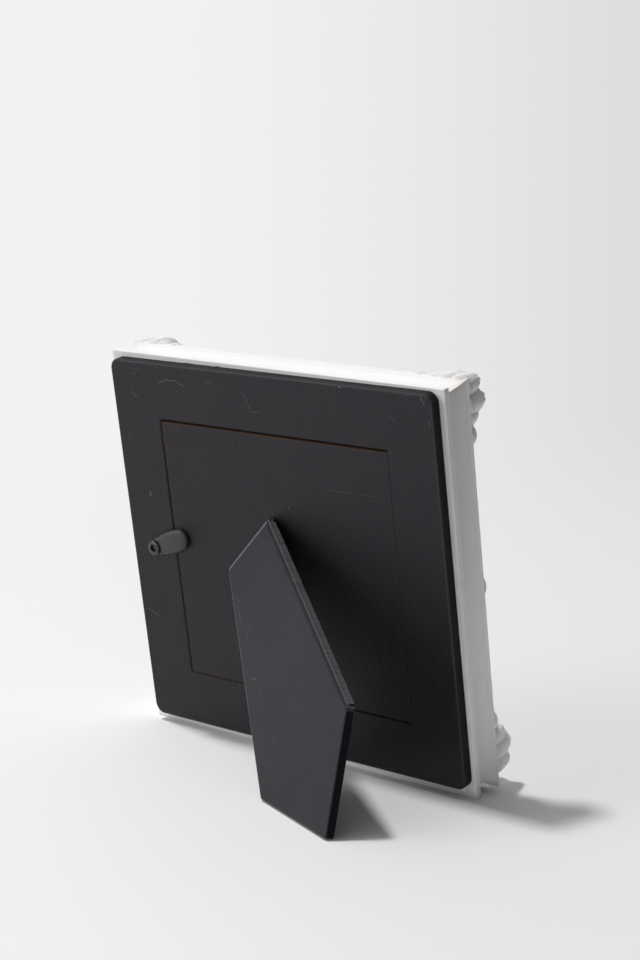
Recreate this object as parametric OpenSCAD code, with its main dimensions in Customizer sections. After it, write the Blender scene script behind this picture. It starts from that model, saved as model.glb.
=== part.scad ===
// Small picture frame: four mitred rails with cast ornaments, a covered back board with a
// hinged door and a turn button, and a folding strut that hangs from the door.
// It is modelled upright with the rear face of the rails at y = 0, the front towards -y and
// the bottom edge at z = 0, then leaned back until the strut's foot edge reaches the table.

/* [Frame] */
// Outer width of the rails at their rear face
frame_w = 156; // [140:1:220]
// Outer height of the rails at their rear face
frame_h = 150; // [140:1:200]
// Angle by which the standing frame leans back
lean = 8.5; // [6:0.5:11]

/* [Rail moulding] */
// Width of a rail from its outer edge to the sight edge
rail_w = 28; // [26:0.5:34]
// Depth of a rail from its rear face to its front crest
rail_d = 13.4; // [12:0.1:18]
// Thickness of the plain flange round the rear
flange_t = 2.6; // [1.5:0.1:4]
// Depth of the quirk behind the side cove
quirk_w = 3; // [1:0.1:4]
// Height of the quirk's straight wall, along the depth
quirk_d = 1.9; // [1:0.1:3]
// Thickness of the rounded lip at the front edge
lip_t = 0.9; // [0.6:0.1:1.5]
// How far the lip stands out past the flange
lip_out = 0.4; // [0:0.1:1]
// Width of the flat crest on the front
crest_w = 3; // [1:0.5:5]
// Depth of the front cove below the crest
cove_d = 5.2; // [3:0.1:6]
// Width of the flat by the sight edge that carries the bead
sight_w = 6; // [5:0.5:8]
// Radius of the bead by the sight edge
bead_r = 1.8; // [1:0.1:2]
// How far the bead stands in front of its flat
bead_out = 1.3; // [0.5:0.1:1.5]
// Width of the ledge that holds the glass
ledge_w = 5; // [3:0.5:7]
// Depth of the rabbet behind the ledge
rabbet_d = 5.6; // [4.6:0.1:7]

/* [Corner nails] */
// Length of a leg of a corner nail
nail_leg = 4; // [2:0.5:5]
// Thickness of the nail's strip
nail_t = 0.5; // [0.3:0.1:1]
// Depth that a nail reaches to in the rails
nail_deep = 5; // [3:0.5:6]
// Depth of a nail's head below the rails' rear face
nail_sink = 0.4; // [0.2:0.1:1]
// Distance of the outer nail from both outer edges
nail_first = 6; // [5:0.5:8]
// Distance between the two nails of a corner
nail_pitch = 8; // [5:0.5:9]

/* [Ornaments] */
// Length of a corner ornament along each rail
corner_size = 28; // [22:1:30]
// Height of a corner ornament in front of the crest
corner_relief = 12.2; // [6:0.1:15]
// How far the lower corner ornament on the left slipped up its rail
corner_slip = 4.3; // [0:0.1:6]
// Length of a side ornament along its rail
side_size = 24; // [18:1:30]
// Height of a side ornament in front of the crest
side_relief = 4.3; // [2:0.1:6]
// Thickness of an ornament at its edge
ornament_edge = 0.8; // [0.5:0.1:1.5]

/* [Glazing] */
// Thickness of the glass
glass_t = 2; // [1.5:0.1:2.5]
// Thickness of the picture card
card_t = 0.5; // [0.2:0.1:1]
// Play of the glass and the cards in the rabbet, on each side
glazing_play = 0.3; // [0.1:0.1:1]
// Play behind the filler card
stack_play = 0.1; // [0.1:0.05:0.4]

/* [Back board] */
// Mean margin of rail showing beside the board
board_margin_w = 2.4; // [1:0.1:5]
// Mean margin of rail showing above and below the board
board_margin_h = 2.7; // [1:0.1:5]
// How far the board was glued to the left, seen from the front
board_left = 0.35; // [0:0.05:1]
// How far the board was glued above the middle
board_up = 1.15; // [0:0.05:1.5]
// Angle by which the board was glued askew
board_skew = 0.4; // [0:0.1:0.6]
// Thickness of the fibreboard core
board_t = 3.4; // [2.5:0.1:4.5]
// Thickness of the covering and lining papers
paper_t = 0.3; // [0.2:0.05:0.5]
// Radius of the board's corners
board_r = 4; // [2:0.5:8]
// Radius of the board's covered rear edges
board_edge_r = 0.7; // [0.5:0.1:1]

/* [Door] */
// Lap of the board over the rabbet's edge, beside the door's free edge
lap_latch = 1.9; // [0.5:0.1:4]
// Lap of the board over the rabbet's edge, beside the door's crease
lap_crease = 0.3; // [0:0.1:4]
// Lap of the board over the rabbet's edge, above the door
lap_top = 1.2; // [0.5:0.1:4]
// Lap of the board over the rabbet's edge, below the door
lap_bottom = 1; // [0.5:0.1:4]
// Width of the sawn slit round the door
kerf = 1; // [0.8:0.1:1.5]
// Width of the scored groove under the crease
score_w = 0.4; // [0.2:0.1:1]
// Radius of the door's free corners
door_r = 1.5; // [1:0.1:3]

/* [Turn button] */
// Distance of the button's pivot from the door's free edge
pivot_out = 9.4; // [8:0.1:11]
// Height of the button's pivot above the frame's middle
pivot_up = 0.3; // [-8:0.1:8]
// Angle of the button's tongue above level, seen from behind
button_up = 20; // [0:1:40]
// Length of the button from its pivot to its far end
button_len = 18.2; // [13:0.1:20]
// Greatest width of the button
button_w = 8.8; // [7:0.1:12]
// Width of the button's narrow end
button_end_w = 6; // [5.6:0.1:8]
// Thickness of the button
button_t = 2.4; // [1.6:0.1:3]
// Thickness of the button under the eyelet's head
hub_t = 1.8; // [1:0.1:2.2]
// Width of the low ground round the eyelet's head
hub_clear = 0.6; // [0.3:0.1:1]
// Bevel round the button's upper face
button_bevel = 0.7; // [0.3:0.1:1]

/* [Eyelet] */
// Outer diameter of the eyelet's barrel
eyelet_d = 3.4; // [2.5:0.1:4]
// Diameter of the hole through the eyelet
eyelet_bore = 2.4; // [1.5:0.1:2.8]
// Diameter of the eyelet's rolled head
eyelet_head_d = 5.7; // [4.5:0.1:6.5]
// Thickness of the eyelet's rolled head
eyelet_head_t = 0.9; // [0.6:0.1:1.2]
// Width of the eyelet's clinched inner end, beyond the barrel
clinch_w = 1; // [0.6:0.1:1.4]
// Thickness of the eyelet's clinched inner end
clinch_t = 0.4; // [0.3:0.1:0.6]
// Diameter of the washer inside the board
washer_d = 7; // [6:0.1:9]
// Thickness of that washer
washer_t = 0.5; // [0.3:0.1:0.8]

/* [Strut] */
// Distance of the hinge's middle from the frame's middle, to the right seen from the front
hinge_x = 10.3; // [4:0.1:16]
// Height of the hinge's middle above the frame's middle
hinge_up = 9.7; // [5:0.1:20]
// Tilt of the strut's hinge line above level, seen from behind
hinge_tilt = 45; // [42:0.5:48]
// Length of the hinge
hinge_len = 28.7; // [24:0.1:34]
// Angle of the opened strut from the door
strut_open = 28.4; // [24:0.1:32]
// Width of the strut at its foot corners
strut_w = 64; // [54:0.5:70]
// Width of the strut along the hinge
strut_top_w = 32; // [28:0.1:38]
// How far the strut was set off the hinge's middle, towards its lower corner
strut_aside = 1.1; // [0:0.1:1.6]
// Thickness of the strut's core
strut_t = 2.8; // [2:0.1:3.5]
// Radius of the strut's corners
strut_r = 1.5; // [0.5:0.1:3]
// Distance of the strut's inner face from the hinge's axis, towards the door
strut_low = 0.9; // [0.7:0.05:1.1]
// Start of the strut's outer face, measured down the strut from the axis
strut_start = 0.2; // [0:0.1:1]

/* [Strut hinge] */
// Height of the hinge's axis above the door's face
axis_up = 1.5; // [1.3:0.05:2]
// Outer diameter of the hinge's knuckles
knuckle_d = 2.3; // [2:0.1:2.5]
// Diameter of the hinge's pin
pin_d = 1.1; // [0.8:0.05:1.3]
// Thickness of the hinge's leaves
leaf_t = 0.4; // [0.3:0.05:0.5]
// Length of the leaves, across the hinge line
leaf_len = 15; // [12:0.5:20]
// Width of the leaves, along the hinge line
leaf_w = 24; // [20:0.5:28]
// Diameter of the rivets
rivet_d = 1.8; // [1.2:0.1:2.2]
// Diameter of the rivets' heads
rivet_head_d = 3.6; // [2.6:0.1:4.5]
// Thickness of the rivets' heads
rivet_head_t = 0.5; // [0.3:0.1:0.8]
// Gap between neighbouring knuckles, and between the knuckles and the strut
hinge_gap = 0.15; // [0.1:0.05:0.3]
// Clearance of the pin in the knuckles, on each side
pin_fit = 0.04; // [0.02:0.01:0.08]

/* [Hidden] */

// Overrun of a cut past the faces that it opens
over = 1;
// Clearance of a fastener or a let-in piece, on each side
fit = 0.05;
// Running clearance of a turning piece, on each side
run = 0.1;
// Lap of two rails past their mitre, where both are cut out of an ornament
mitre_lap = 0.02;
// Facets of the small rounds and of the wide coves
$fn = 48;
cove_facets = 144;

// Rail section: where the lip starts, and the radii of the side cove and the front cove
lip_start = rail_d - lip_t;
side_cove_d = lip_start - flange_t - quirk_d;
side_cove_r = (quirk_w * quirk_w + side_cove_d * side_cove_d) / (2 * quirk_w);
front_cove_end = rail_w - sight_w;
front_cove_w = front_cove_end - crest_w;
front_cove_r = (front_cove_w * front_cove_w + cove_d * cove_d) / (2 * cove_d);
sight_d = rail_d - cove_d;

// Glazing: the rabbet's opening, and the thickness left for the filler card
rabbet_w = frame_w - 2 * (rail_w - ledge_w);
rabbet_h = frame_h - 2 * (rail_w - ledge_w);
filler_t = rabbet_d - glass_t - card_t - stack_play;

// Back board: its size, its middle, the levels of its layers and the door's edges
board_w = frame_w - 2 * board_margin_w;
board_h = frame_h - 2 * board_margin_h;
board_x = -board_left;
board_z = frame_h / 2 + board_up;
core_y = paper_t;
cover_y = core_y + board_t;
back_y = cover_y + paper_t;
crease_x = board_x - rabbet_w / 2 + lap_crease;
free_x = board_x + rabbet_w / 2 - lap_latch;
door_top_z = board_z + rabbet_h / 2 - lap_top;
door_bottom_z = board_z - rabbet_h / 2 + lap_bottom;

// Turn button and eyelet: the pivot's place, and the levels of the stack on the barrel
pivot_x = free_x + pivot_out;
pivot_z = frame_h / 2 + pivot_up;
button_y = back_y + run;
eyelet_head_y = button_y + hub_t + run;
clinch_y = core_y + fit;
washer_y = clinch_y + clinch_t;
socket_y = washer_y + washer_t;

// Strut hinge: the axis, the knuckles, and levels measured outward from the axis
axis_y = back_y + axis_up;
knuckle_r = knuckle_d / 2;
knuckles = 5;
knuckle_l = (hinge_len - (knuckles - 1) * hinge_gap) / knuckles;
fixed_leaf_n = cover_y - leaf_t - axis_y;
core_in = paper_t - strut_low;
core_out = core_in + strut_t;
strut_outer = core_out + paper_t;
leaf_start = knuckle_r + hinge_gap;
heel = (axis_up - fit + core_in * cos(strut_open)) / sin(strut_open);
rivet_places = [for (side = [-1, 1]) [leaf_len - rivet_head_d, side * (leaf_w / 2 - rivet_head_d)]];

// Foot of the strut: the rise of each hinge direction, and where the inner face meets the table
tilt = hinge_tilt + board_skew;
hinge_rise = frame_h / 2 + hinge_up * cos(board_skew) - hinge_x * sin(board_skew);
axis_rise = hinge_rise * cos(lean) - axis_y * sin(lean);
along_rise = sin(tilt) * cos(lean);
down_drop = cos(tilt) * cos(lean) * cos(strut_open) + sin(lean) * sin(strut_open);
out_rise = cos(tilt) * cos(lean) * sin(strut_open) - sin(lean) * cos(strut_open);
function foot(side) = (axis_rise + side * along_rise - strut_low * out_rise) / down_drop;
foot_corner = foot(-strut_w / 2 - strut_aside);
strut_tip = foot(-strut_aside);
strut_outline = [
    [strut_start, -strut_top_w / 2 - strut_aside],
    [foot_corner, -strut_w / 2 - strut_aside],
    [strut_tip, -strut_aside],
    [foot_corner, strut_w / 2 - strut_aside],
    [strut_start, strut_top_w / 2 - strut_aside]
];

// Depth of the standing frame on the table, and the shift that puts its middle over y = 0
foot_reach = (hinge_rise - strut_aside * sin(tilt)) * sin(lean) + axis_y * cos(lean)
    + strut_tip * (sin(strut_open) * cos(lean) - cos(tilt) * cos(strut_open) * sin(lean))
    + strut_outer * (cos(strut_open) * cos(lean) + cos(tilt) * sin(strut_open) * sin(lean));
front_reach = (rail_d + corner_relief) * cos(lean);
stand_y = (front_reach - foot_reach) / 2;

// Ornament lobes: place along and across the rail and radius as shares of the ornament's
// size, and height as a share of its relief
corner_lobe_shares = [
    [0.1, 0.12, 0.148, 0.82],
    [0.33, 0.13, 0.18, 1],
    [0.13, 0.32, 0.18, 1],
    [0.365, 0.365, 0.24, 0.93],
    [0.48, 0.12, 0.15, 0.55],
    [0.125, 0.485, 0.155, 0.75],
    [0.715, 0.13, 0.16, 0.33],
    [0.127, 0.73, 0.155, 0.27],
    [0.63, 0.345, 0.175, 0.45],
    [0.345, 0.63, 0.175, 0.45],
    [0.63, 0.63, 0.165, 0.28]
];
corner_middle_shares = [0.36, 0.36];
side_lobe_shares = [
    [0, 0.235, 0.235, 1],
    [-0.285, 0.205, 0.175, 0.8],
    [0.285, 0.205, 0.175, 0.8],
    [-0.43, 0.2, 0.09, 0.3],
    [0.43, 0.2, 0.09, 0.3],
    [0, 0.52, 0.2, 0.7],
    [-0.2, 0.45, 0.16, 0.5],
    [0.2, 0.45, 0.16, 0.5]
];
side_middle_shares = [0, 0.34];

// Outlines: a convex outline drawn in by a distance, and one with rounded corners
function left_of(a, b) = let (d = (b - a) / norm(b - a)) [-d[1], d[0]];
function before(points, i) = left_of(points[(i + len(points) - 1) % len(points)], points[i]);
function after(points, i) = left_of(points[i], points[(i + 1) % len(points)]);
function drawn_in(points, by) = [
    for (i = [0:len(points) - 1])
        let (a = before(points, i), b = after(points, i)) points[i] + by * (a + b) / (1 + a * b)
];
function rounded(points, r, steps = 6) = let (centres = drawn_in(points, r)) [
    for (i = [0:len(points) - 1])
        let (a = before(points, i), b = after(points, i), start = atan2(-a[1], -a[0]), turn = acos(a * b))
            for (k = [0:steps])
                centres[i] + r * [cos(start + turn * k / steps), sin(start + turn * k / steps)]
];

// Places: the leaned frame, the board glued askew, the pivot, the strut hinge, the opened strut
module stand() translate([0, stand_y, 0]) rotate([-lean, 0, 0]) children();

module on_back() stand() translate([0, 0, frame_h / 2]) rotate([0, board_skew, 0])
    translate([0, 0, -frame_h / 2]) children();

module at_pivot() translate([pivot_x, 0, pivot_z]) rotate([-90, 0, 0]) children();

module at_hinge() translate([hinge_x, axis_y, frame_h / 2 + hinge_up]) rotate([0, 90 + hinge_tilt, 0])
    rotate([-90, 0, 0]) children();

module on_strut() on_back() at_hinge() rotate([0, -strut_open, 0]) children();

// A flat sheet from the level y, cut to the outline given as its child
module sheet(y, t) translate([0, y + t, 0]) rotate([90, 0, 0]) linear_extrude(height = t) children();

// Rails

function at(inward, depth) = [-depth, inward];

module cove_cut(inward, depth, r, box_from, box_size) intersection() {
    translate(at(inward, depth)) circle(r = r, $fn = cove_facets);
    translate(box_from) square(box_size);
}

module rail_section() difference() {
    polygon([
        at(0, 0), at(0, flange_t), at(quirk_w, flange_t), at(quirk_w, flange_t + quirk_d),
        at(0, flange_t + quirk_d), at(0, lip_start), at(lip_t / 2 - lip_out, lip_start),
        at(lip_t / 2 - lip_out, rail_d), at(front_cove_end, rail_d), at(front_cove_end, sight_d),
        at(rail_w, sight_d), at(rail_w, rabbet_d), at(rail_w - ledge_w, rabbet_d), at(rail_w - ledge_w, 0)
    ]);
    cove_cut(quirk_w - side_cove_r, flange_t + quirk_d, side_cove_r,
        at(-over, lip_start), [side_cove_d, quirk_w + over]);
    cove_cut(front_cove_end, sight_d + front_cove_r, front_cove_r,
        at(crest_w, rail_d + over), [cove_d + over, front_cove_w]);
}

// A length of moulding along x: the body, the round nose of the lip and the sight bead
module moulding(length) translate([-length / 2, 0, 0]) rotate([90, 0, 90]) {
    linear_extrude(height = length) rail_section();
    translate(at(lip_t / 2 - lip_out, rail_d - lip_t / 2)) cylinder(d = lip_t, h = length);
    translate(at(rail_w - sight_w / 2, sight_d + bead_out - bead_r)) cylinder(r = bead_r, h = length);
}

// Turns the bottom rail's place to the bottom, left, top and right, counted by k from 0
module round_frame(k) translate([0, 0, frame_h / 2]) rotate([0, 90 * k, 0])
    translate([0, 0, -(k % 2 == 0 ? frame_h : frame_w) / 2]) children();

// A rail cut to its mitres, or past them by a lap
module bare_rail(k, lap = 0) {
    half = (k % 2 == 0 ? frame_w : frame_h) / 2 + lap;
    round_frame(k) intersection() {
        moulding(2 * (half + over));
        sheet(-rail_d - over, rail_d + 2 * over) polygon([
            [-half - over, -over], [half + over, -over],
            [half - rail_w - over, rail_w + over], [rail_w + over - half, rail_w + over]
        ]);
    }
}

// Turns a bottom left corner's place to the corners, counted by k from the bottom left
module at_corner(k) translate([k < 2 ? -frame_w / 2 : frame_w / 2, 0, k == 0 || k == 3 ? 0 : frame_h])
    rotate([0, 90 * k, 0]) children();

module nails() {
    for (k = [0:3], place = [nail_first, nail_first + nail_pitch])
        at_corner(k) sheet(-nail_deep, nail_deep - nail_sink) translate([place, place]) {
            square([nail_leg, nail_t]);
            square([nail_t, nail_leg]);
        }
}

module nail_slots() {
    nails();
    for (k = [0:3], place = [nail_first, nail_first + nail_pitch])
        at_corner(k) sheet(-nail_sink, nail_sink + over) translate([place, place]) {
            square([nail_leg, nail_t]);
            square([nail_t, nail_leg]);
        }
}

module rail(k) color("white") stand() difference() {
    bare_rail(k);
    nail_slots();
}

module rail_bottom() rail(0);

module rail_left() rail(1);

module rail_top() rail(2);

module rail_right() rail(3);

module corner_nails() color("silver") stand() nails();

// Ornaments: a relief with a lobed outline and a domed top, seated on the rails' front

function ground(e) = e < crest_w ? rail_d
    : e > front_cove_end ? sight_d
    : sight_d + front_cove_r - sqrt(front_cove_r * front_cove_r - pow(front_cove_end - e, 2));
function share_of(place, lobe) = norm(place - [lobe[0], lobe[1]]) / lobe[2];
function relief_top(place, e, lobes, relief) = let (base = ground(e) + ornament_edge) max([
    for (lobe = lobes)
        base + (rail_d + relief * lobe[3] - base) * sqrt(max(0, 1 - pow(share_of(place, lobe), 2)))
]);
function ray(from, a, lobe) = let (
    way = [lobe[0], lobe[1]] - from,
    along = way * [cos(a), sin(a)],
    half = lobe[2] * lobe[2] + along * along - way * way
) half > 0 ? along + sqrt(half) : 0;
function reach(from, a, lobes) = max([for (lobe = lobes) ray(from, a, lobe)]);

// The relief's places and its points: the top's middle, the rings out to the edge, the ring
// under the edge and the middle of the underside. A slip moves a corner's relief up its rail
function inward(p, corner, slip) = corner ? min(p[0], p[1] + slip) : p[1];
module relief(lobe_shares, middle_shares, size, height, corner, rings, spokes, slip = 0) {
    lobes = [for (s = lobe_shares) [s[0] * size, s[1] * size, s[2] * size, s[3]]];
    middle = middle_shares * size;
    edge = [for (i = [0:spokes - 1]) reach(middle, 360 * i / spokes, lobes)];
    places = [
        for (j = [1:rings], i = [0:spokes - 1])
            middle + edge[i] * sin(90 * j / rings) * [cos(360 * i / spokes), sin(360 * i / spokes)]
    ];
    rim = (rings - 1) * spokes;
    under = [for (i = [0:spokes - 1]) places[rim + i]];
    top_points = [
        for (p = concat([middle], places))
            let (e = inward(p, corner, slip))
                [p[0], -relief_top(p, e, lobes, height), p[1] + slip]
    ];
    under_points = [
        for (p = concat(under, [middle]))
            let (e = inward(p, corner, slip))
                [p[0], lip_t - ornament_edge / 8 - ground(e), p[1] + slip]
    ];
    last = len(top_points) + len(under_points) - 1;
    polyhedron(points = concat(top_points, under_points), faces = [
        for (i = [0:spokes - 1]) let (n = (i + 1) % spokes)
            each concat(
                [[0, 1 + i, 1 + n]],
                [for (j = [0:rings - 1]) let (a = 1 + j * spokes) [a + i, a + spokes + i, a + n]],
                [for (j = [0:rings - 1]) let (a = 1 + j * spokes) [a + n, a + spokes + i, a + spokes + n]],
                [[last, 1 + rings * spokes + n, 1 + rings * spokes + i]]
            )
    ]);
}

// The room outside a rail and behind its crest, which leaves a corner's relief a flat back there
module beside_rail(k) {
    past = corner_slip + over;
    half = (k % 2 == 0 ? frame_w : frame_h) / 2 + past;
    round_frame(k) sheet(-rail_d, rail_d) polygon([
        [-half, -past], [half, -past], [half, lip_t / 2], [-half, lip_t / 2]
    ]);
}

module corner_ornament(k) color("white") stand() difference() {
    at_corner(k) relief(
        corner_lobe_shares, corner_middle_shares, corner_size, corner_relief, true, 7, 64,
        slip = k == 0 ? corner_slip : 0
    );
    bare_rail(k, mitre_lap);
    bare_rail((k + 1) % 4, mitre_lap);
    beside_rail(k);
    beside_rail((k + 1) % 4);
}

module side_ornament(k) color("white") stand() difference() {
    round_frame(k) relief(side_lobe_shares, side_middle_shares, side_size, side_relief, false, 5, 48);
    bare_rail(k);
}

module corner_ornament_bottom_left() corner_ornament(0);

module corner_ornament_top_left() corner_ornament(1);

module corner_ornament_top_right() corner_ornament(2);

module corner_ornament_bottom_right() corner_ornament(3);

module side_ornament_bottom() side_ornament(0);

module side_ornament_left() side_ornament(1);

module side_ornament_top() side_ornament(2);

module side_ornament_right() side_ornament(3);

// Glazing

module glazing(y, t) stand() sheet(y, t) translate([0, frame_h / 2])
    square([rabbet_w - 2 * glazing_play, rabbet_h - 2 * glazing_play], center = true);

module glass_pane() color("lightcyan") glazing(-rabbet_d, glass_t);

module picture_card() color("gainsboro") glazing(glass_t - rabbet_d, card_t);

module filler_card() color("tan") glazing(glass_t + card_t - rabbet_d, filler_t);

// Back board: a fibreboard core in black paper, with a sawn opening for the door

module soft_rect(w, h, r) {
    square([w - 2 * r, h], center = true);
    square([w, h - 2 * r], center = true);
    for (x = [-1, 1], z = [-1, 1])
        translate([x * (w / 2 - r), z * (h / 2 - r)]) circle(r = r);
}

module eased_section(w, t, e) {
    translate([-w / 2, 0]) square([w, t - e]);
    translate([e - w / 2, 0]) square([w - 2 * e, t]);
    for (x = [-1, 1])
        translate([x * (w / 2 - e), t - e]) circle(r = e);
}

// A board with round corners and eased rear edges, standing on its front face at y = 0
module eased_board(w, h, t, r, e) {
    translate([0, 0, r - h / 2]) linear_extrude(height = h - 2 * r) eased_section(w, t, e);
    translate([r - w / 2, 0, 0]) rotate([0, 90, 0]) linear_extrude(height = w - 2 * r)
        eased_section(h, t, e);
    for (x = [-1, 1], z = [-1, 1])
        translate([x * (w / 2 - r), 0, z * (h / 2 - r)]) rotate([-90, 0, 0]) rotate_extrude() {
            square([r, t - e]);
            square([r - e, t]);
            translate([r - e, t - e]) circle(r = e);
        }
}

module core_block() translate([board_x, core_y, board_z])
    eased_board(board_w - 2 * paper_t, board_h - 2 * paper_t, board_t,
        board_r - paper_t, board_edge_r - paper_t);

// The door's outline in the board's plane, grown by the slit and reaching to x on the crease side
module door_outline(x, grow) {
    w = free_x - x + grow;
    h = door_top_z - door_bottom_z + 2 * grow;
    translate([x + w / 2, (door_top_z + door_bottom_z) / 2]) {
        soft_rect(w, h, door_r + grow);
        translate([-w / 4, 0]) square([w / 2, h], center = true);
    }
}

module back_board() color("sienna") on_back() difference() {
    core_block();
    sheet(core_y - over, board_t + 2 * over) door_outline(crease_x - score_w / 2, 0);
    at_pivot() cylinder(d = eyelet_d + 2 * fit, h = back_y + over);
    at_pivot() cylinder(d = washer_d + 2 * fit, h = socket_y);
}

module back_cover() color("black") on_back() difference() {
    translate([board_x, core_y, board_z])
        eased_board(board_w, board_h, board_t + paper_t, board_r, board_edge_r);
    core_block();
    sheet(cover_y - over, paper_t + 2 * over) door_outline(crease_x, 0);
    at_pivot() cylinder(d = eyelet_d + 2 * fit, h = back_y + over);
}

module back_lining() color("dimgray") on_back() difference() {
    sheet(0, paper_t) translate([board_x, board_z]) soft_rect(board_w, board_h, board_r);
    sheet(-over, paper_t + 2 * over) door_outline(crease_x - score_w / 2, 0);
    at_pivot() cylinder(d = washer_d + 2 * fit, h = socket_y);
}

module button_eyelet() color("dimgray") on_back() at_pivot() rotate_extrude() {
    translate([eyelet_bore / 2, clinch_y])
        square([(eyelet_d - eyelet_bore) / 2, eyelet_head_y + eyelet_head_t / 2 - clinch_y]);
    translate([eyelet_bore / 2, clinch_y])
        square([(eyelet_d - eyelet_bore) / 2 + clinch_w, clinch_t]);
    translate([(eyelet_bore + eyelet_head_t) / 2, eyelet_head_y])
        square([(eyelet_head_d - eyelet_bore) / 2 - eyelet_head_t, eyelet_head_t]);
    for (r = [(eyelet_bore + eyelet_head_t) / 2, (eyelet_head_d - eyelet_head_t) / 2])
        translate([r, eyelet_head_y + eyelet_head_t / 2]) circle(d = eyelet_head_t);
}

module eyelet_washer() color("silver") on_back() at_pivot() difference() {
    translate([0, 0, washer_y]) cylinder(d = washer_d, h = washer_t);
    cylinder(d = eyelet_d + 2 * fit, h = socket_y + over);
}

// Door

module web_slots(grow) {
    for (i = [0:2:knuckles - 1])
        translate([-leaf_t / 2 - grow, (knuckle_l + hinge_gap) * i - hinge_len / 2 - grow])
            square([leaf_t + 2 * grow, knuckle_l + 2 * grow]);
}

module door_panel() color("sienna") on_back() difference() {
    sheet(core_y, board_t) door_outline(crease_x + score_w / 2, -kerf);
    at_hinge() {
        translate([-leaf_t / 2 - fit, -leaf_w / 2 - fit, fixed_leaf_n])
            cube([leaf_len + leaf_t / 2 + 2 * fit, leaf_w + 2 * fit, leaf_t + over]);
        translate([0, 0, fixed_leaf_n]) linear_extrude(height = leaf_t + over) web_slots(fit);
        for (p = rivet_places)
            translate([p[0], p[1], -axis_y]) {
                cylinder(d = rivet_d + 2 * fit, h = axis_y);
                cylinder(d = rivet_head_d + 2 * fit, h = core_y + rivet_head_t);
            }
    }
}

module door_cover() color("black") on_back() difference() {
    sheet(cover_y, paper_t) door_outline(crease_x, -kerf);
    at_hinge() translate([0, 0, fixed_leaf_n]) linear_extrude(height = axis_up + paper_t)
        web_slots(fit);
}

module door_lining() color("dimgray") on_back()
    sheet(0, paper_t) door_outline(crease_x + score_w / 2, -kerf);

// Strut hinge: pressed leaves with rolled knuckles on a pin

module knuckle_row(first) {
    for (i = [first:2:knuckles - 1])
        translate([0, (knuckle_l + hinge_gap) * i - hinge_len / 2, 0]) rotate([-90, 0, 0])
            cylinder(d = knuckle_d, h = knuckle_l);
}

module pin_hole() translate([0, -hinge_len / 2 - over, 0]) rotate([-90, 0, 0])
    cylinder(d = pin_d + 2 * pin_fit, h = hinge_len + 2 * over);

module leaf_plate(from, level, holes_h) difference() {
    translate([from, -leaf_w / 2, level]) cube([leaf_len - from, leaf_w, leaf_t]);
    for (p = rivet_places)
        translate([p[0], p[1], level - over]) cylinder(d = rivet_d + 2 * fit, h = holes_h);
}

module hinge_fixed_leaf() color("darkslategray") on_back() at_hinge() {
    leaf_plate(-leaf_t / 2, fixed_leaf_n, leaf_t + 2 * over);
    difference() {
        union() {
            knuckle_row(0);
            translate([0, 0, fixed_leaf_n]) linear_extrude(height = -fixed_leaf_n - pin_d) web_slots(0);
        }
        pin_hole();
    }
}

module hinge_pin() color("silver") on_back() at_hinge()
    translate([0, -hinge_len / 2, 0]) rotate([-90, 0, 0]) cylinder(d = pin_d, h = hinge_len);

module hinge_moving_leaf() color("darkslategray") on_strut() {
    leaf_plate(leaf_start, core_in, leaf_t + 2 * over);
    difference() {
        union() {
            knuckle_row(1);
            for (i = [1:2:knuckles - 1])
                translate([-heel, (knuckle_l + hinge_gap) * i - hinge_len / 2, core_in])
                    cube([heel + leaf_start, knuckle_l, leaf_t]);
        }
        pin_hole();
    }
}

module rivet(head_at, from, to) {
    translate([0, 0, from]) cylinder(d = rivet_d, h = to - from);
    translate([0, 0, head_at]) cylinder(d = rivet_head_d, h = rivet_head_t);
}

module door_rivets() color("silver") on_back() at_hinge()
    for (p = rivet_places)
        translate([p[0], p[1], 0]) rivet(core_y - axis_y, core_y - axis_y, cover_y - axis_y);

module strut_rivets() color("silver") on_strut()
    for (p = rivet_places)
        translate([p[0], p[1], 0]) rivet(core_out - rivet_head_t, core_in, core_out);

// Strut

module strut_slab(inset, from, to) translate([0, 0, from]) linear_extrude(height = to - from)
    polygon(rounded(drawn_in(strut_outline, inset), strut_r - inset));

module knuckle_room() translate([0, -strut_top_w / 2 - strut_aside - over, 0]) rotate([-90, 0, 0])
    cylinder(r = leaf_start, h = strut_top_w + strut_aside + 2 * over);

module strut_board() color("sienna") on_strut() difference() {
    strut_slab(paper_t, core_in, core_out);
    knuckle_room();
    translate([0, -leaf_w / 2 - fit, core_in - over])
        cube([leaf_len + fit, leaf_w + 2 * fit, leaf_t + over]);
    for (p = rivet_places)
        translate([p[0], p[1], 0]) {
            translate([0, 0, core_in]) cylinder(d = rivet_d + 2 * fit, h = strut_t);
            translate([0, 0, core_out - rivet_head_t])
                cylinder(d = rivet_head_d + 2 * fit, h = rivet_head_t + over);
        }
}

module strut_cover() color("black") on_strut() difference() {
    strut_slab(0, -strut_low, strut_outer);
    strut_slab(paper_t, -strut_low - over, core_out);
    knuckle_room();
}

module strut_lining() color("black") on_strut() difference() {
    strut_slab(paper_t, -strut_low, core_in);
    knuckle_room();
}

// Turn button: a moulded tongue with a low end under the eyelet's head

module button_disc(d, h, x) translate([x, 0, button_y]) cylinder(d = d, h = h, $fn = 32);

module turn_button() color("black") on_back() at_pivot() rotate([0, 0, 180 + button_up]) difference() {
    hull()
        for (place = [[button_end_w, 0], [button_w, button_len - button_w / 2]]) {
            button_disc(place[0], button_t - button_bevel, place[1]);
            button_disc(place[0] - 2 * button_bevel, button_t, place[1]);
        }
    translate([0, 0, button_y + hub_t])
        cylinder(d = eyelet_head_d + 2 * hub_clear, h = button_t);
    cylinder(d = eyelet_d + 2 * run, h = button_y + button_t + over);
}

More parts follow.
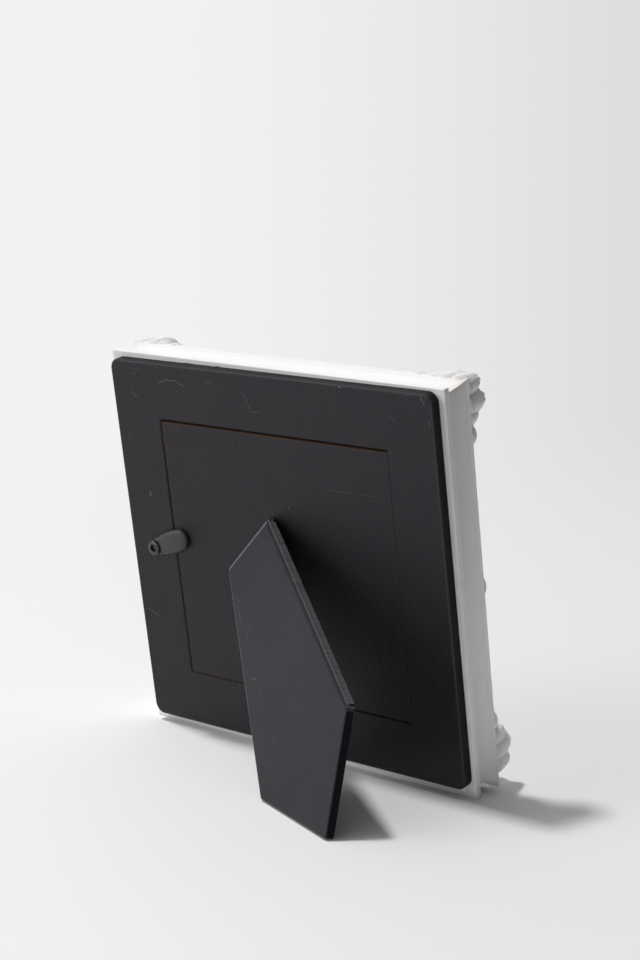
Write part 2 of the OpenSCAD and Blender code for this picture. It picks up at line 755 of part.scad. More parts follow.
rail_top();
rail_bottom();
rail_left();
rail_right();
corner_nails();
corner_ornament_top_left();
corner_ornament_top_right();
corner_ornament_bottom_left();
corner_ornament_bottom_right();
side_ornament_top();
side_ornament_bottom();
side_ornament_left();
side_ornament_right();
glass_pane();
picture_card();
filler_card();
back_board();
back_cover();
back_lining();
button_eyelet();
eyelet_washer();
door_panel();
door_cover();
door_lining();
hinge_fixed_leaf();
hinge_pin();
door_rivets();
turn_button();
strut_board();
strut_cover();
strut_lining();
hinge_moving_leaf();
strut_rivets();
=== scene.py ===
from math import atan2, cos, pi, radians, sin, sqrt

import bmesh
import bpy
import numpy as np
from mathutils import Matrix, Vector


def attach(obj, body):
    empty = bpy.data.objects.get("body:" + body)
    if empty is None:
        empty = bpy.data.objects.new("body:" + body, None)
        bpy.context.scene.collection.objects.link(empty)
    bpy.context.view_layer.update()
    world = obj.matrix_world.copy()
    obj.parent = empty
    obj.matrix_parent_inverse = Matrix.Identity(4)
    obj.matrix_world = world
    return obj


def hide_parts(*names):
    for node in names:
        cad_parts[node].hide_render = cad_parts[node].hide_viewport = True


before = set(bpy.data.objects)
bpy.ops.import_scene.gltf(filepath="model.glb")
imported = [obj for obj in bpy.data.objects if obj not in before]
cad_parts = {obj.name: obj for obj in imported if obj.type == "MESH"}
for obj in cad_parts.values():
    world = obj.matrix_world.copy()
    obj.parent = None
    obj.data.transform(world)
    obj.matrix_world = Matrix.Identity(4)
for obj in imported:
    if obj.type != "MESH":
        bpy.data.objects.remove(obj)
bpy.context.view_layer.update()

scene = bpy.context.scene
scene.view_settings.view_transform = "Standard"

# The camera stands behind the frame and to its right, a little above it, and looks down on the
# standing strut. A long lens keeps the uprights nearly parallel.
camera = bpy.data.objects.new("camera", bpy.data.cameras.new("camera"))
scene.collection.objects.link(camera)
turn, dip = radians(40.063), radians(11.111)
look = Vector((sin(turn) * cos(dip), -cos(turn) * cos(dip), -sin(dip)))
camera.location = (-0.49134, 0.557182, 0.25365)
camera.rotation_mode = "QUATERNION"
camera.rotation_quaternion = look.to_track_quat("-Z", "Y")
camera.data.sensor_fit = "VERTICAL"
camera.data.sensor_height = 36
camera.data.lens = 79.33
camera.data.clip_start, camera.data.clip_end = 0.01, 50
scene.camera = camera

# The studio: one high lamp a little to the left, a broad soft panel at the left, and a room that is
# bright on the left and dim on the right. The table and the wall behind it are one pale sheet. Its far
# part glows, as painted light, brighter on the left than on the right, and its near part is painted
# darker towards the right, as painted shade.


def feed(tree, node, **sockets):
    """Sets a node's inputs, by name or as i and a number, to values or other nodes' outputs."""
    for name, value in sockets.items():
        numbered = name[0] == "i" and name[1:].isdigit()
        socket = node.inputs[int(name[1:]) if numbered else name.replace("_", " ")]
        if isinstance(value, bpy.types.NodeSocket):
            tree.links.new(value, socket)
        else:
            socket.default_value = value


def shade(tree, kind, settings=None, **sockets):
    """A new node of this kind. Settings are its properties, and sockets are its inputs."""
    made = tree.nodes.new(kind)
    for name, value in (settings or {}).items():
        setattr(made, name, value)
    feed(tree, made, **sockets)
    return made


def sum_of(tree, how, a, b=0.0, c=None, clamp=False):
    made = shade(tree, "ShaderNodeMath", {"operation": how, "use_clamp": clamp}, i0=a, i1=b)
    if c is not None:
        feed(tree, made, i2=c)
    return made.outputs[0]


def times(tree, a, b, clamp=False):
    return sum_of(tree, "MULTIPLY", a, b, clamp=clamp)


def vector(tree, how, a, b=(0, 0, 0), **more):
    made = shade(tree, "ShaderNodeVectorMath", {"operation": how}, i0=a, i1=b, **more)
    return made.outputs["Value" if how in ("DOT_PRODUCT", "LENGTH") else "Vector"]


def step_of(tree, value, start, end, low=0.0, high=1.0):
    """Eases from low to high while the value goes from start to end."""
    return shade(tree, "ShaderNodeMapRange", {"interpolation_type": "SMOOTHSTEP"},
                 Value=value, From_Min=start, From_Max=end, To_Min=low, To_Max=high).outputs[0]


def own_place(tree):
    return shade(tree, "ShaderNodeTexCoord").outputs["Object"]


def backdrop_level(tree, ray):
    """How far right a ray from the camera goes, and the plain backdrop's brightness there."""
    ahead = sum_of(tree, "ABSOLUTE", vector(tree, "DOT_PRODUCT", ray, look))
    across = vector(tree, "DOT_PRODUCT", ray, rightward)
    share = sum_of(tree, "DIVIDE", across, sum_of(tree, "MAXIMUM", ahead, 0.05))
    return share, step_of(tree, share, -0.12, 0.33, 0.893, 0.633)


def straight_rays(tree):
    """One for a ray that shows the backdrop itself, also through glass or in a gloss, else zero."""
    path = shade(tree, "ShaderNodeLightPath").outputs
    seen = sum_of(tree, "ADD", path["Is Camera Ray"], path["Is Transmission Ray"])
    return sum_of(tree, "ADD", seen, path["Is Glossy Ray"], clamp=True)


plain_white = (1.0, 1.0, 1.0, 1.0)
rightward = Vector((look.y, -look.x, 0.0)).normalized()
bright_side = (0.85, 0.15, 0.5)
world = bpy.data.worlds.new("room")
scene.world = world
world.use_nodes = True
tree = world.node_tree
tree.nodes.clear()
ray = shade(tree, "ShaderNodeTexCoord").outputs["Generated"]
seen = backdrop_level(tree, ray)[1]
lit = step_of(tree, vector(tree, "DOT_PRODUCT", ray, bright_side), -0.42, 0.9, 0.02, 0.62)
level = shade(tree, "ShaderNodeMix", Factor=straight_rays(tree), A=lit, B=seen)
sky = shade(tree, "ShaderNodeBackground", Color=plain_white, Strength=level.outputs["Result"])
shade(tree, "ShaderNodeOutputWorld", Surface=sky.outputs[0])

lamp = bpy.data.objects.new("high_lamp", bpy.data.lights.new("high_lamp", "SUN"))
lamp.data.energy = 1.80
lamp.data.angle = radians(5.5)
lamp.data.color = (1.0, 0.995, 0.985)
lamp.rotation_mode = "QUATERNION"
lamp.rotation_quaternion = Vector((0.283, 0.118, 1.0)).to_track_quat("Z", "Y")
scene.collection.objects.link(lamp)

panel = bpy.data.objects.new("soft_panel", bpy.data.lights.new("soft_panel", "AREA"))
panel.data.size = 1.0
panel.data.energy = 11.5
panel.data.color = (0.985, 0.99, 1.0)
panel.location = (1.12, 1.30, 0.62)
panel.rotation_mode = "QUATERNION"
panel.rotation_quaternion = Vector((1.12, 1.30, 0.57)).to_track_quat("Z", "Y")
scene.collection.objects.link(panel)

sheet_mesh = bpy.data.meshes.new("table_sheet")
sheet_mesh.from_pydata([(-9, -9, 0), (9, -9, 0), (9, 9, 0), (-9, 9, 0)], [], [(0, 1, 2, 3)])
table_sheet = bpy.data.objects.new("table_sheet", sheet_mesh)
scene.collection.objects.link(table_sheet)
pale = bpy.data.materials.new("pale_sheet")
pale.use_nodes = True
tree = pale.node_tree
tree.nodes.clear()
place = own_place(tree)
share, far_level = backdrop_level(tree, vector(tree, "SUBTRACT", place, camera.location))
far = times(tree, step_of(tree, vector(tree, "LENGTH", place), 0.25, 0.9), straight_rays(tree))
parts = shade(tree, "ShaderNodeSeparateXYZ", Vector=place).outputs
# For light that bounces off it, the near sheet is painted darker towards -X and towards +Y, as painted
# shade, and brighter than white close by the frame, as painted light.
spill = times(tree, step_of(tree, parts["X"], -0.46, -0.04, 0.34, 1.26),
              step_of(tree, parts["Y"], 0.55, 0.12, 0.35, 1.0))
spill = times(tree, spill, step_of(tree, parts["X"], -0.06, 0.05, 1.0, 0.72))
spill = shade(tree, "ShaderNodeMix", Factor=straight_rays(tree), A=spill, B=1.0).outputs["Result"]
near_level = times(tree, step_of(tree, share, -0.20, 0.20, 0.855, 0.775), spill)
near_colour = shade(tree, "ShaderNodeCombineColor", Red=near_level, Green=near_level, Blue=near_level)
near_look = shade(tree, "ShaderNodeBsdfPrincipled", Base_Color=near_colour.outputs[0], Roughness=0.85)
far_look = shade(tree, "ShaderNodeEmission", Color=plain_white, Strength=far_level)
both = shade(tree, "ShaderNodeMixShader", i0=far, i1=near_look.outputs[0], i2=far_look.outputs[0])
shade(tree, "ShaderNodeOutputMaterial", Surface=both.outputs[0])
sheet_mesh.materials.append(pale)

# The four rails are one wooden moulding, cut to mitres and glued, then painted matt white. From the
# back it has a plain flange, a square quirk, a side cove and a rounded lip, and on the front a crest,
# a wide cove and a bead by the sight edge. The paint rounds every arris a little.
lean, stand_y = radians(8.5), -20.205
frame_w, frame_h = 156.0, 150.0
rail_w, rail_d = 28.0, 13.4
flange_t, quirk_w, quirk_end, lip_start = 2.6, 3.0, 4.5, 12.5
crest_w, cove_end, sight_d = 3.0, 22.0, 8.2
rabbet_start, rabbet_d = 23.0, 5.6


def stand(p):
    """Places points in millimetres of the upright frame in the leaned one, in metres."""
    p = np.asarray(p, float)
    x, y, z = p[..., 0], p[..., 1], p[..., 2]
    back, up = y * cos(lean) + z * sin(lean) + stand_y, -y * sin(lean) + z * cos(lean)
    return np.stack([x, back, up], -1) / 1000


def round_frame(k, p):
    """Turns points of the bottom rail's place to the bottom, left, top or right rail."""
    p = np.asarray(p, float)
    x, y, z = p[..., 0], p[..., 1], p[..., 2] - (frame_h if k % 2 == 0 else frame_w) / 2
    c, s = round(cos(k * pi / 2)), round(sin(k * pi / 2))
    return np.stack([x * c + z * s, y, -x * s + z * c + frame_h / 2], -1)


def arc(centre, r, start, end, steps):
    return [(centre[0] + r * cos(radians(a)), centre[1] + r * sin(radians(a)))
            for a in np.linspace(start, end, steps)]


def eased(corners):
    """A closed outline with each corner of (a, b, radius) drawn as a small arc."""
    out = []
    for i, (x, y, r) in enumerate(corners):
        p = np.array((x, y))
        if r == 0:
            out.append((x, y))
            continue
        before = np.array(corners[i - 1][:2]) - p
        after = np.array(corners[(i + 1) % len(corners)][:2]) - p
        a, b = before / np.linalg.norm(before), after / np.linalg.norm(after)
        half = np.arccos(np.clip(a @ b, -1, 1)) / 2
        off = r / np.tan(half)
        middle = p + (a + b) / np.linalg.norm(a + b) * r / sin(half)
        start, end = p + a * off - middle, p + b * off - middle
        for t in np.linspace(0, 1, 6):
            way = start * (1 - t) + end * t
            out.append(tuple(middle + way / np.linalg.norm(way) * r))
    return out


side_r = (quirk_w ** 2 + (lip_start - quirk_end) ** 2) / (2 * quirk_w)
side_cove = [(quirk_w - side_r + sqrt(side_r ** 2 - (d - quirk_end) ** 2), d, 0)
             for d in np.linspace(5.0, 12.2, 20)]
cove_w, cove_d = cove_end - crest_w, 5.2
front_r = (cove_w ** 2 + cove_d ** 2) / (2 * cove_d)
front_cove = [(e, sight_d + front_r - sqrt(front_r ** 2 - (cove_end - e) ** 2), 0)
              for e in np.linspace(3.4, 21.5, 34)]
bead_middle, bead_r = (25, 7.7), 1.8
bead_start = 90 + np.degrees(np.arccos(0.5 / bead_r))
bead = [(e, d, 0) for e, d in arc(bead_middle, bead_r, bead_start - 4, 184 - bead_start, 16)]
lip_middle, lip_r = (0.05, 12.95), 0.44
lip = [(e, d, 0) for e, d in arc(lip_middle, lip_r, 265, 95, 9)]
section = eased([
    (0, 0, 0.35), (0, flange_t, 0.35), (quirk_w, flange_t, 0.15), (quirk_w, quirk_end, 0.1),
    *side_cove, (0.05, lip_start, 0.12), *lip, (crest_w, rail_d, 0.5), *front_cove,
    (cove_end, sight_d, 0), (23.1, sight_d, 0.12), *bead, (26.9, sight_d, 0.12), (rail_w, sight_d, 0.4),
    (rail_w, rabbet_d, 0.2), (rabbet_start, rabbet_d, 0), (rabbet_start, 0, 0)
])

# The tree draws one rail: it repeats the section along the length and cuts both ends back to the
# mitre, then lets the paint stand a little uneven.
mitred_rail = bpy.data.node_groups.new("mitred_rail", "GeometryNodeTree")
net = mitred_rail
for name, kind in (("Section", "Geometry"), ("Half Length", "Float"), ("Points", "Int"), ("Rows", "Int"),
                   ("Paint Unevenness", "Float"), ("Seed", "Int"), ("Material", "Material")):
    net.interface.new_socket(name=name, in_out="INPUT", socket_type="NodeSocket" + kind)
net.interface.new_socket(name="Geometry", in_out="OUTPUT", socket_type="NodeSocketGeometry")
given = net.nodes.new("NodeGroupInput").outputs
columns = sum_of(net, "ADD", given["Points"], 1.0)
grid = shade(net, "GeometryNodeMeshGrid", Vertices_X=columns, Vertices_Y=given["Rows"])
index = net.nodes.new("GeometryNodeInputIndex").outputs[0]
column = sum_of(net, "FLOOR", sum_of(net, "DIVIDE", sum_of(net, "ADD", index, 0.5), given["Rows"]))
row = sum_of(net, "SUBTRACT", index, times(net, column, given["Rows"]))
last_row = sum_of(net, "SUBTRACT", given["Rows"], 1.0)
along = sum_of(net, "MULTIPLY_ADD", sum_of(net, "DIVIDE", row, last_row), 2.0, -1.0)
wrapped = sum_of(net, "MODULO", column, given["Points"])
drawn = net.nodes.new("GeometryNodeInputPosition").outputs[0]
picked = shade(net, "GeometryNodeSampleIndex", {"data_type": "FLOAT_VECTOR", "domain": "POINT"},
               Geometry=given["Section"], Value=drawn, Index=wrapped)
parts = shade(net, "ShaderNodeSeparateXYZ", i0=picked.outputs[0]).outputs
length = times(net, along, sum_of(net, "SUBTRACT", given["Half Length"], parts["Z"]))
spot = shade(net, "ShaderNodeCombineXYZ", X=length, Y=parts["Y"], Z=parts["Z"]).outputs[0]
swept = shade(net, "GeometryNodeSetPosition", Geometry=grid.outputs["Mesh"], Position=spot)
closed = shade(net, "GeometryNodeMergeByDistance", Geometry=swept.outputs[0], Distance=1e-6)
paint = shade(net, "ShaderNodeTexNoise", {"noise_dimensions": "4D"}, Vector=drawn, W=given["Seed"],
              Scale=260.0, Detail=2.0)
depth = times(net, times(net, paint.outputs[0], given["Paint Unevenness"]), -1.0)
shift = vector(net, "SCALE", net.nodes.new("GeometryNodeInputNormal").outputs[0], Scale=depth)
uneven = shade(net, "GeometryNodeSetPosition", Geometry=closed.outputs[0], Offset=shift)
smooth = shade(net, "GeometryNodeSetShadeSmooth", Geometry=uneven.outputs[0])
real = shade(net, "GeometryNodeRealizeInstances", Geometry=smooth.outputs[0])
painted = shade(net, "GeometryNodeSetMaterial", Geometry=real.outputs[0], Material=given["Material"])
net.links.new(painted.outputs[0], net.nodes.new("NodeGroupOutput").inputs[0])


def new_finish(name):
    """A new material with its node tree and its Principled BSDF."""
    made = bpy.data.materials.new(name)
    made.use_nodes = True
    return made, made.node_tree, made.node_tree.nodes["Principled BSDF"]


def noise(tree, at, scale, detail, rough=0.5):
    return shade(tree, "ShaderNodeTexNoise", Vector=at, Scale=scale, Detail=detail,
                 Roughness=rough).outputs[0]


def two_tone(tree, share, first, last, start=0.0, end=1.0):
    """A colour that goes from the first tone to the last as the share goes from start to end."""
    ramp = shade(tree, "ShaderNodeValToRGB", Fac=share)
    for stop, spot, tone in zip(ramp.color_ramp.elements, (start, end), (first, last)):
        stop.position = spot
        stop.color = (*tone, 1)
    return ramp.outputs[0]


def blended(tree, share, a, b):
    return shade(tree, "ShaderNodeMix", {"data_type": "RGBA"}, i0=share, i6=a, i7=b).outputs[2]


def relief(tree, strength, depth, height):
    return shade(tree, "ShaderNodeBump", Strength=strength, Distance=depth, Height=height).outputs[0]


white_paint, tree, paint_look = new_finish("white_paint")
place = own_place(tree)
# The paint is browned by a per-point attribute: painted shade in the recesses of the rails and the grooves
# of the ornaments, and dirt along the mitre joints.
grime_and_shade = shade(tree, "ShaderNodeAttribute", {"attribute_name": "grime_and_shade"}).outputs["Fac"]
cloud = noise(tree, place, 45.0, 5.0, 0.6)
shade_and_dirt = times(tree, grime_and_shade, step_of(tree, cloud, 0.30, 0.75, 0.25, 1.0), clamp=True)
clean = two_tone(tree, step_of(tree, cloud, 0.2, 0.8), (0.860, 0.848, 0.854), (0.900, 0.891, 0.895))
shaded_and_dusty = blended(tree, shade_and_dirt, clean, (0.50, 0.42, 0.36, 1))
speck = times(tree, step_of(tree, noise(tree, place, 900.0, 3.0, 0.7), 0.70, 0.78), 0.35)
brushed = sum_of(tree, "ADD", times(tree, noise(tree, place, 1600.0, 4.0, 0.65), 0.5), cloud)
feed(tree, paint_look, Base_Color=blended(tree, speck, shaded_and_dusty, (0.62, 0.58, 0.55, 1)),
     Roughness=step_of(tree, cloud, 0.2, 0.8, 0.52, 0.68), Specular_IOR_Level=0.35,
     Normal=relief(tree, 0.35, 0.00009, brushed))


def as_mesh(base, name):
    """The piece that a modifier gives, as a plain mesh of its own; the base goes."""
    shown = base.evaluated_get(bpy.context.evaluated_depsgraph_get())
    mesh = bpy.data.meshes.new_from_object(shown)
    bpy.data.objects.remove(base)
    piece = bpy.data.objects.new(name, mesh)
    mesh.name = name
    scene.collection.objects.link(piece)
    return piece


def turn_out(mesh, capped=False):
    """Turns a mesh's faces outward, and caps its open ends first where it has some."""
    shape = bmesh.new()
    shape.from_mesh(mesh)
    if capped:
        bmesh.ops.holes_fill(shape, edges=[e for e in shape.edges if e.is_boundary])
    bmesh.ops.recalc_face_normals(shape, faces=shape.faces)
    shape.to_mesh(mesh)
    shape.free()


def mark_points(mesh, key, values):
    """Stores a number from 0 to 1 for each point under a name that a material reads."""
    layer = mesh.attributes.new(key, "FLOAT", "POINT")
    layer.data.foreach_set("value", np.clip(values, 0, 1).astype(np.float32))


def near(distance, reach):
    """One at no distance, falling to zero at the reach."""
    return np.clip(1 - distance / reach, 0, 1)


rail_rows, paint_swell = 72, 0.00004
section_mesh = bpy.data.meshes.new("rail_section")
section_mesh.from_pydata([(0, -d / 1000, e / 1000) for e, d in section], [], [])
sockets = {s.name: s.identifier for s in mitred_rail.interface.items_tree if s.in_out == "INPUT"}
for k, side_name in enumerate(("bottom", "left", "top", "right")):
    half_length = (frame_w if k % 2 == 0 else frame_h) / 2
    blank = bpy.data.objects.new("rail_blank", section_mesh)
    scene.collection.objects.link(blank)
    cut = blank.modifiers.new("mitred_rail", "NODES")
    cut.node_group = mitred_rail
    for key, value in (("Half Length", half_length / 1000), ("Points", len(section)), ("Rows", rail_rows),
                       ("Paint Unevenness", paint_swell), ("Seed", 11 + k), ("Material", white_paint)):
        cut[sockets[key]] = value
    piece = as_mesh(blank, "painted_rail_" + side_name)
    turn_out(piece.data, capped=True)
    flat = np.array([v.co for v in piece.data.vertices]) * 1000
    e, d = flat[:, 2], -flat[:, 1]
    mitre_gap = half_length - e - np.abs(flat[:, 0])
    # Painted shade in the quirk, under the lip and beside the bead; dirt along each mitre joint; and a warm
    # tint on the side cove near the mitres.
    recess_shade_and_dirt = near(np.hypot((e - 3) / 1.6, (d - 3.6) / 1.5), 1) * 0.5
    recess_shade_and_dirt += near(np.hypot((e - 0.9) / 0.8, (d - 12.0) / 0.8), 1) * 0.35
    recess_shade_and_dirt += (near(np.abs(e - 22.8), 0.5) + near(np.abs(e - 27.2), 0.5)) * 0.3 * (d > 7)
    recess_shade_and_dirt += near(mitre_gap, 0.25) * 0.35 + near(mitre_gap, 9) * 0.22 * (d > 4) * (d < 12.6) * (e < 3.1)
    mark_points(piece.data, "grime_and_shade", recess_shade_and_dirt)
    piece.data.vertices.foreach_set("co", stand(round_frame(k, flat)).astype(np.float32).ravel())
    piece.data.set_sharp_from_angle(angle=radians(42))
    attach(piece, "frame")
    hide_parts("rail_" + side_name)

# The corner ornaments are cast in composition from one mould, glued over the mitres and painted
# with the rails. Each is a spray of fluted leaf lobes round a rolled boss, with a thin upright edge.
# The lower one at the right of the photograph's view slipped up its rail while the glue was wet.
cast_edge = 0.8


def front_of(e):
    """How far in front of the rear face the moulding's front stands, at a distance in from its edge."""
    e = np.asarray(e, float)
    cove = sight_d + front_r - np.sqrt(np.maximum(front_r ** 2 - (cove_end - e) ** 2, 0))
    return np.where(e < crest_w, rail_d, np.where(e > cove_end, sight_d, cove))


def hump(x, middle, width):
    """A soft hump, one at its middle."""
    return np.exp(-((x - middle) / width) ** 2)


def carved(name, lobes, middle, size, rise, place, corner, rings=64, spokes=352, slip=0.0):
    """A cast relief: lobes are shares of its size (along, inward, radius, height), drawn as domes
    with veins that fan out from the middle, and a valley wherever two of them meet."""
    lobes = np.array([[a * size, b * size, r * size * 0.985, h] for a, b, r, h in lobes])
    middle = np.array(middle) * size
    turns = np.linspace(0, 2 * pi, spokes, endpoint=False)
    ways = np.stack([np.cos(turns), np.sin(turns)], -1)
    to = lobes[:, :2] - middle
    nearest = ways @ to.T
    inside = lobes[:, 2] ** 2 + nearest ** 2 - (to ** 2).sum(1)
    edge = np.max(np.where(inside > 0, nearest + np.sqrt(np.maximum(inside, 0)), 0), axis=1)
    steps = np.sin(np.linspace(0, pi / 2, rings + 1)[1:])
    flat = middle + edge[None, :, None] * steps[:, None, None] * ways[None]
    flat = np.concatenate([middle[None], flat.reshape(-1, 2)])
    e = np.minimum(flat[:, 0], flat[:, 1] + slip) if corner else flat[:, 1]
    base = front_of(e) + cast_edge

    off = flat[:, None, :] - lobes[None, :, :2]
    share = np.linalg.norm(off, axis=2) / lobes[None, :, 2]
    tall = rail_d + rise * lobes[None, :, 3] - base[:, None]
    height = np.maximum(tall, 0) * np.sqrt(np.clip(1 - share ** 2, 0, 1))
    order = np.sort(height, axis=1)
    valley = hump(order[:, -1] - order[:, -2], 0, 0.5) * np.clip(order[:, -2] / 1.2, 0, 1)

    rows, best = np.arange(len(flat)), height.argmax(1)
    outward = (to / np.maximum(np.linalg.norm(to, axis=1), 1e-6)[:, None])[best]
    own, own_share = off[rows, best] / lobes[best, 2:3], share[rows, best]
    along = (own * outward).sum(1)
    across = np.abs(own[:, 0] * outward[:, 1] - own[:, 1] * outward[:, 0])
    veins = 0.9 * hump(across, 0, 0.10) + 0.8 * hump(across, 0.40 + 0.14 * along, 0.11)
    veins = (veins + 0.5 * hump(across, 0.72, 0.09)) * np.clip(along + 1.0, 0, 1)
    flutes = 1 - np.abs(np.sin(np.arctan2(own[:, 1], own[:, 0]) * 6)) ** 0.6
    rosette = hump(own_share, 0.34, 0.07) + (own_share > 0.34) * flutes * 0.9
    boss = np.linalg.norm(to, axis=1)[best] < 0.12 * size
    groove = np.where(boss, rosette, veins) * np.clip(1 - own_share, 0, 1) ** 0.35
    blend = (height ** 4).sum(1) ** 0.25
    top = base + np.minimum(blend, rail_d + 0.995 * rise - base) - 0.30 * valley
    top = np.maximum(top - 0.85 * groove * np.clip(blend / 3, 0, 1), np.minimum(top, base))

    outer = 1 + (rings - 1) * spokes
    rim = flat[outer:]
    low = front_of(e[outer:]) - 0.8
    up = np.array((0.0, slip))
    foot = middle + (rim - middle) * 0.985
    layers = ((flat + up, -top), (rim + up, -low - 0.12), (foot + up, -low),
              (middle[None] + up, 0.8 - front_of(e[:1])))
    points = np.concatenate([np.stack([at[:, 0], y, at[:, 1]], -1) for at, y in layers])
    faces = [(0, 1 + i, 1 + (i + 1) % spokes) for i in range(spokes)]
    for ring in range(rings + 1):
        a, b = 1 + ring * spokes, 1 + (ring + 1) * spokes
        faces += [(a + i, b + i, b + (i + 1) % spokes, a + (i + 1) % spokes) for i in range(spokes)]
    last, under = len(points) - 1, 1 + (rings + 1) * spokes
    faces += [(last, under + (i + 1) % spokes, under + i) for i in range(spokes)]
    mesh = bpy.data.meshes.new(name)
    mesh.from_pydata([tuple(p) for p in stand(place(points))], [], faces)
    turn_out(mesh)
    # The valleys and grooves of the cast, and its edge and underside where it meets the rail, are browned as
    # painted shade.
    values = np.zeros(len(points))
    values[:len(flat)] = np.clip(valley + 0.8 * groove, 0, 1) * 0.42
    values[outer - spokes:] = 0.30
    mark_points(mesh, "grime_and_shade", values)
    mesh.shade_smooth()
    mesh.materials.append(white_paint)
    piece = bpy.data.objects.new(name, mesh)
    scene.collection.objects.link(piece)
    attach(piece, "frame")
    return piece


def at_corner(k):
    """A placer for points of the bottom left corner, turned to the corners in order."""
    x0, z0 = (-frame_w if k < 2 else frame_w) / 2, 0 if k in (0, 3) else frame_h
    c, s = round(cos(k * pi / 2)), round(sin(k * pi / 2))

    def place(p):
        x, y, z = p[..., 0], p[..., 1], p[..., 2]
        return np.stack([x * c + z * s + x0, y, -x * s + z * c + z0], -1)
    return place


corner_size, corner_rise, corner_slip = 28, 12.2, 4.3
corner_leaves = [
    (0.1, 0.12, 0.148, 0.82), (0.33, 0.13, 0.18, 1), (0.13, 0.32, 0.18, 1), (0.365, 0.365, 0.24, 0.93),
    (0.48, 0.12, 0.15, 0.55), (0.125, 0.485, 0.155, 0.75), (0.715, 0.13, 0.16, 0.33),
    (0.127, 0.73, 0.155, 0.27), (0.63, 0.345, 0.175, 0.45), (0.345, 0.63, 0.175, 0.45),
    (0.63, 0.63, 0.165, 0.28)
]
for k, corner_name in enumerate(("bottom_left", "top_left", "top_right", "bottom_right")):
    piece = carved("cast_corner_" + corner_name, corner_leaves, (0.36, 0.36), corner_size, corner_rise,
                   at_corner(k), True, slip=corner_slip if k == 0 else 0.0)
    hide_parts("corner_ornament_" + corner_name)

# The side ornaments come from a smaller mould, one glued at the middle of each rail: a fluted shell
# between low leaves, painted with the rest.
shell_size, shell_rise = 24, 4.3
shell_leaves = [
    (0, 0.235, 0.235, 1), (-0.285, 0.205, 0.175, 0.8), (0.285, 0.205, 0.175, 0.8), (-0.43, 0.2, 0.09, 0.3),
    (0.43, 0.2, 0.09, 0.3), (0, 0.52, 0.2, 0.7), (-0.2, 0.45, 0.16, 0.5), (0.2, 0.45, 0.16, 0.5)
]
for k, side_name in enumerate(("bottom", "left", "top", "right")):
    piece = carved("cast_side_" + side_name, shell_leaves, (0, 0.34), shell_size, shell_rise,
                   lambda p, k=k: round_frame(k, p), False, rings=48, spokes=288)
    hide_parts("side_ornament_" + side_name)

# The corner nails are bent steel strip, driven flush behind the mitres, two to a corner. They keep
# their solids, with the grey of cut strip and a little rust.


def dress(node, material):
    """Gives a carried-over solid its material."""
    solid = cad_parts[node]
    solid.data.materials.clear()
    solid.data.materials.append(material)


nail_steel, tree, steel_look = new_finish("nail_steel")
rust = noise(tree, own_place(tree), 500.0, 6.0, 0.7)
feed(tree, steel_look, Base_Color=two_tone(tree, rust, (0.46, 0.46, 0.47), (0.20, 0.12, 0.07), 0.45, 0.75),
     Roughness=step_of(tree, rust, 0.4, 0.75, 0.35, 0.85), Metallic=step_of(tree, rust, 0.5, 0.7, 1.0, 0.2))
dress("corner_nails", nail_steel)

# The glazing is a pane of float glass with a plain print on card behind it, and a thick grey-brown
# filler card that packs the rabbet. The print is a bare sheet with a keyline and a soft grey wash.
glass = bpy.data.materials.new("float_glass")
glass.use_nodes = True
tree = glass.node_tree
tree.nodes.clear()
smear = noise(tree, own_place(tree), 60.0, 4.0, 0.6)
clear = shade(tree, "ShaderNodeBsdfTransparent", Color=(0.975, 0.985, 0.978, 1))
sheen = shade(tree, "ShaderNodeBsdfPrincipled", Base_Color=(0.03, 0.035, 0.033, 1), IOR=1.52,
              Roughness=step_of(tree, smear, 0.45, 0.75, 0.02, 0.12))
facing = shade(tree, "ShaderNodeLayerWeight", Blend=0.12).outputs["Fresnel"]
inner_face = shade(tree, "ShaderNodeNewGeometry").outputs["Backfacing"]
film = sum_of(tree, "ADD", facing, step_of(tree, smear, 0.55, 0.8, 0.0, 0.03), clamp=True)
film = times(tree, film, sum_of(tree, "SUBTRACT", 1.0, inner_face))
pane = shade(tree, "ShaderNodeMixShader", i0=film, i1=clear.outputs[0], i2=sheen.outputs[0])
shade(tree, "ShaderNodeOutputMaterial", Surface=pane.outputs[0])
dress("glass_pane", glass)

print_sheet, tree, sheet_look = new_finish("plain_print")
place = own_place(tree)
upright = shade(tree, "ShaderNodeMapping", Vector=place, Location=(0, 0, -0.0742), Rotation=(lean, 0, 0))
parts = shade(tree, "ShaderNodeSeparateXYZ", Vector=upright.outputs[0]).outputs
from_x = sum_of(tree, "SUBTRACT", sum_of(tree, "ABSOLUTE", parts["X"]), 0.0030)
border = sum_of(tree, "MAXIMUM", from_x, sum_of(tree, "ABSOLUTE", parts["Z"]))
tint = times(tree, step_of(tree, parts["Z"], -0.045, 0.045), 0.82)
wash = sum_of(tree, "MULTIPLY_ADD", noise(tree, place, 18.0, 5.0), 0.18, tint)
washed = two_tone(tree, wash, (0.47, 0.50, 0.50), (0.74, 0.76, 0.75))
laid = blended(tree, step_of(tree, border, 0.0338, 0.0336), (0.80, 0.78, 0.73, 1), washed)
keyline = times(tree, step_of(tree, border, 0.0350, 0.0352), step_of(tree, border, 0.0358, 0.0356))
feed(tree, sheet_look, Base_Color=blended(tree, keyline, laid, (0.30, 0.30, 0.29, 1)), Roughness=0.7,
     Normal=relief(tree, 0.2, 0.00003, noise(tree, place, 2500.0, 3.0)))
dress("picture_card", print_sheet)

card_stock, tree, card_look = new_finish("filler_card")
pulp = noise(tree, own_place(tree), 320.0, 8.0, 0.75)
feed(tree, card_look, Base_Color=two_tone(tree, pulp, (0.30, 0.24, 0.17), (0.47, 0.38, 0.28), 0.3, 0.7),
     Roughness=0.9, Normal=relief(tree, 0.3, 0.00008, pulp))
dress("filler_card", card_stock)

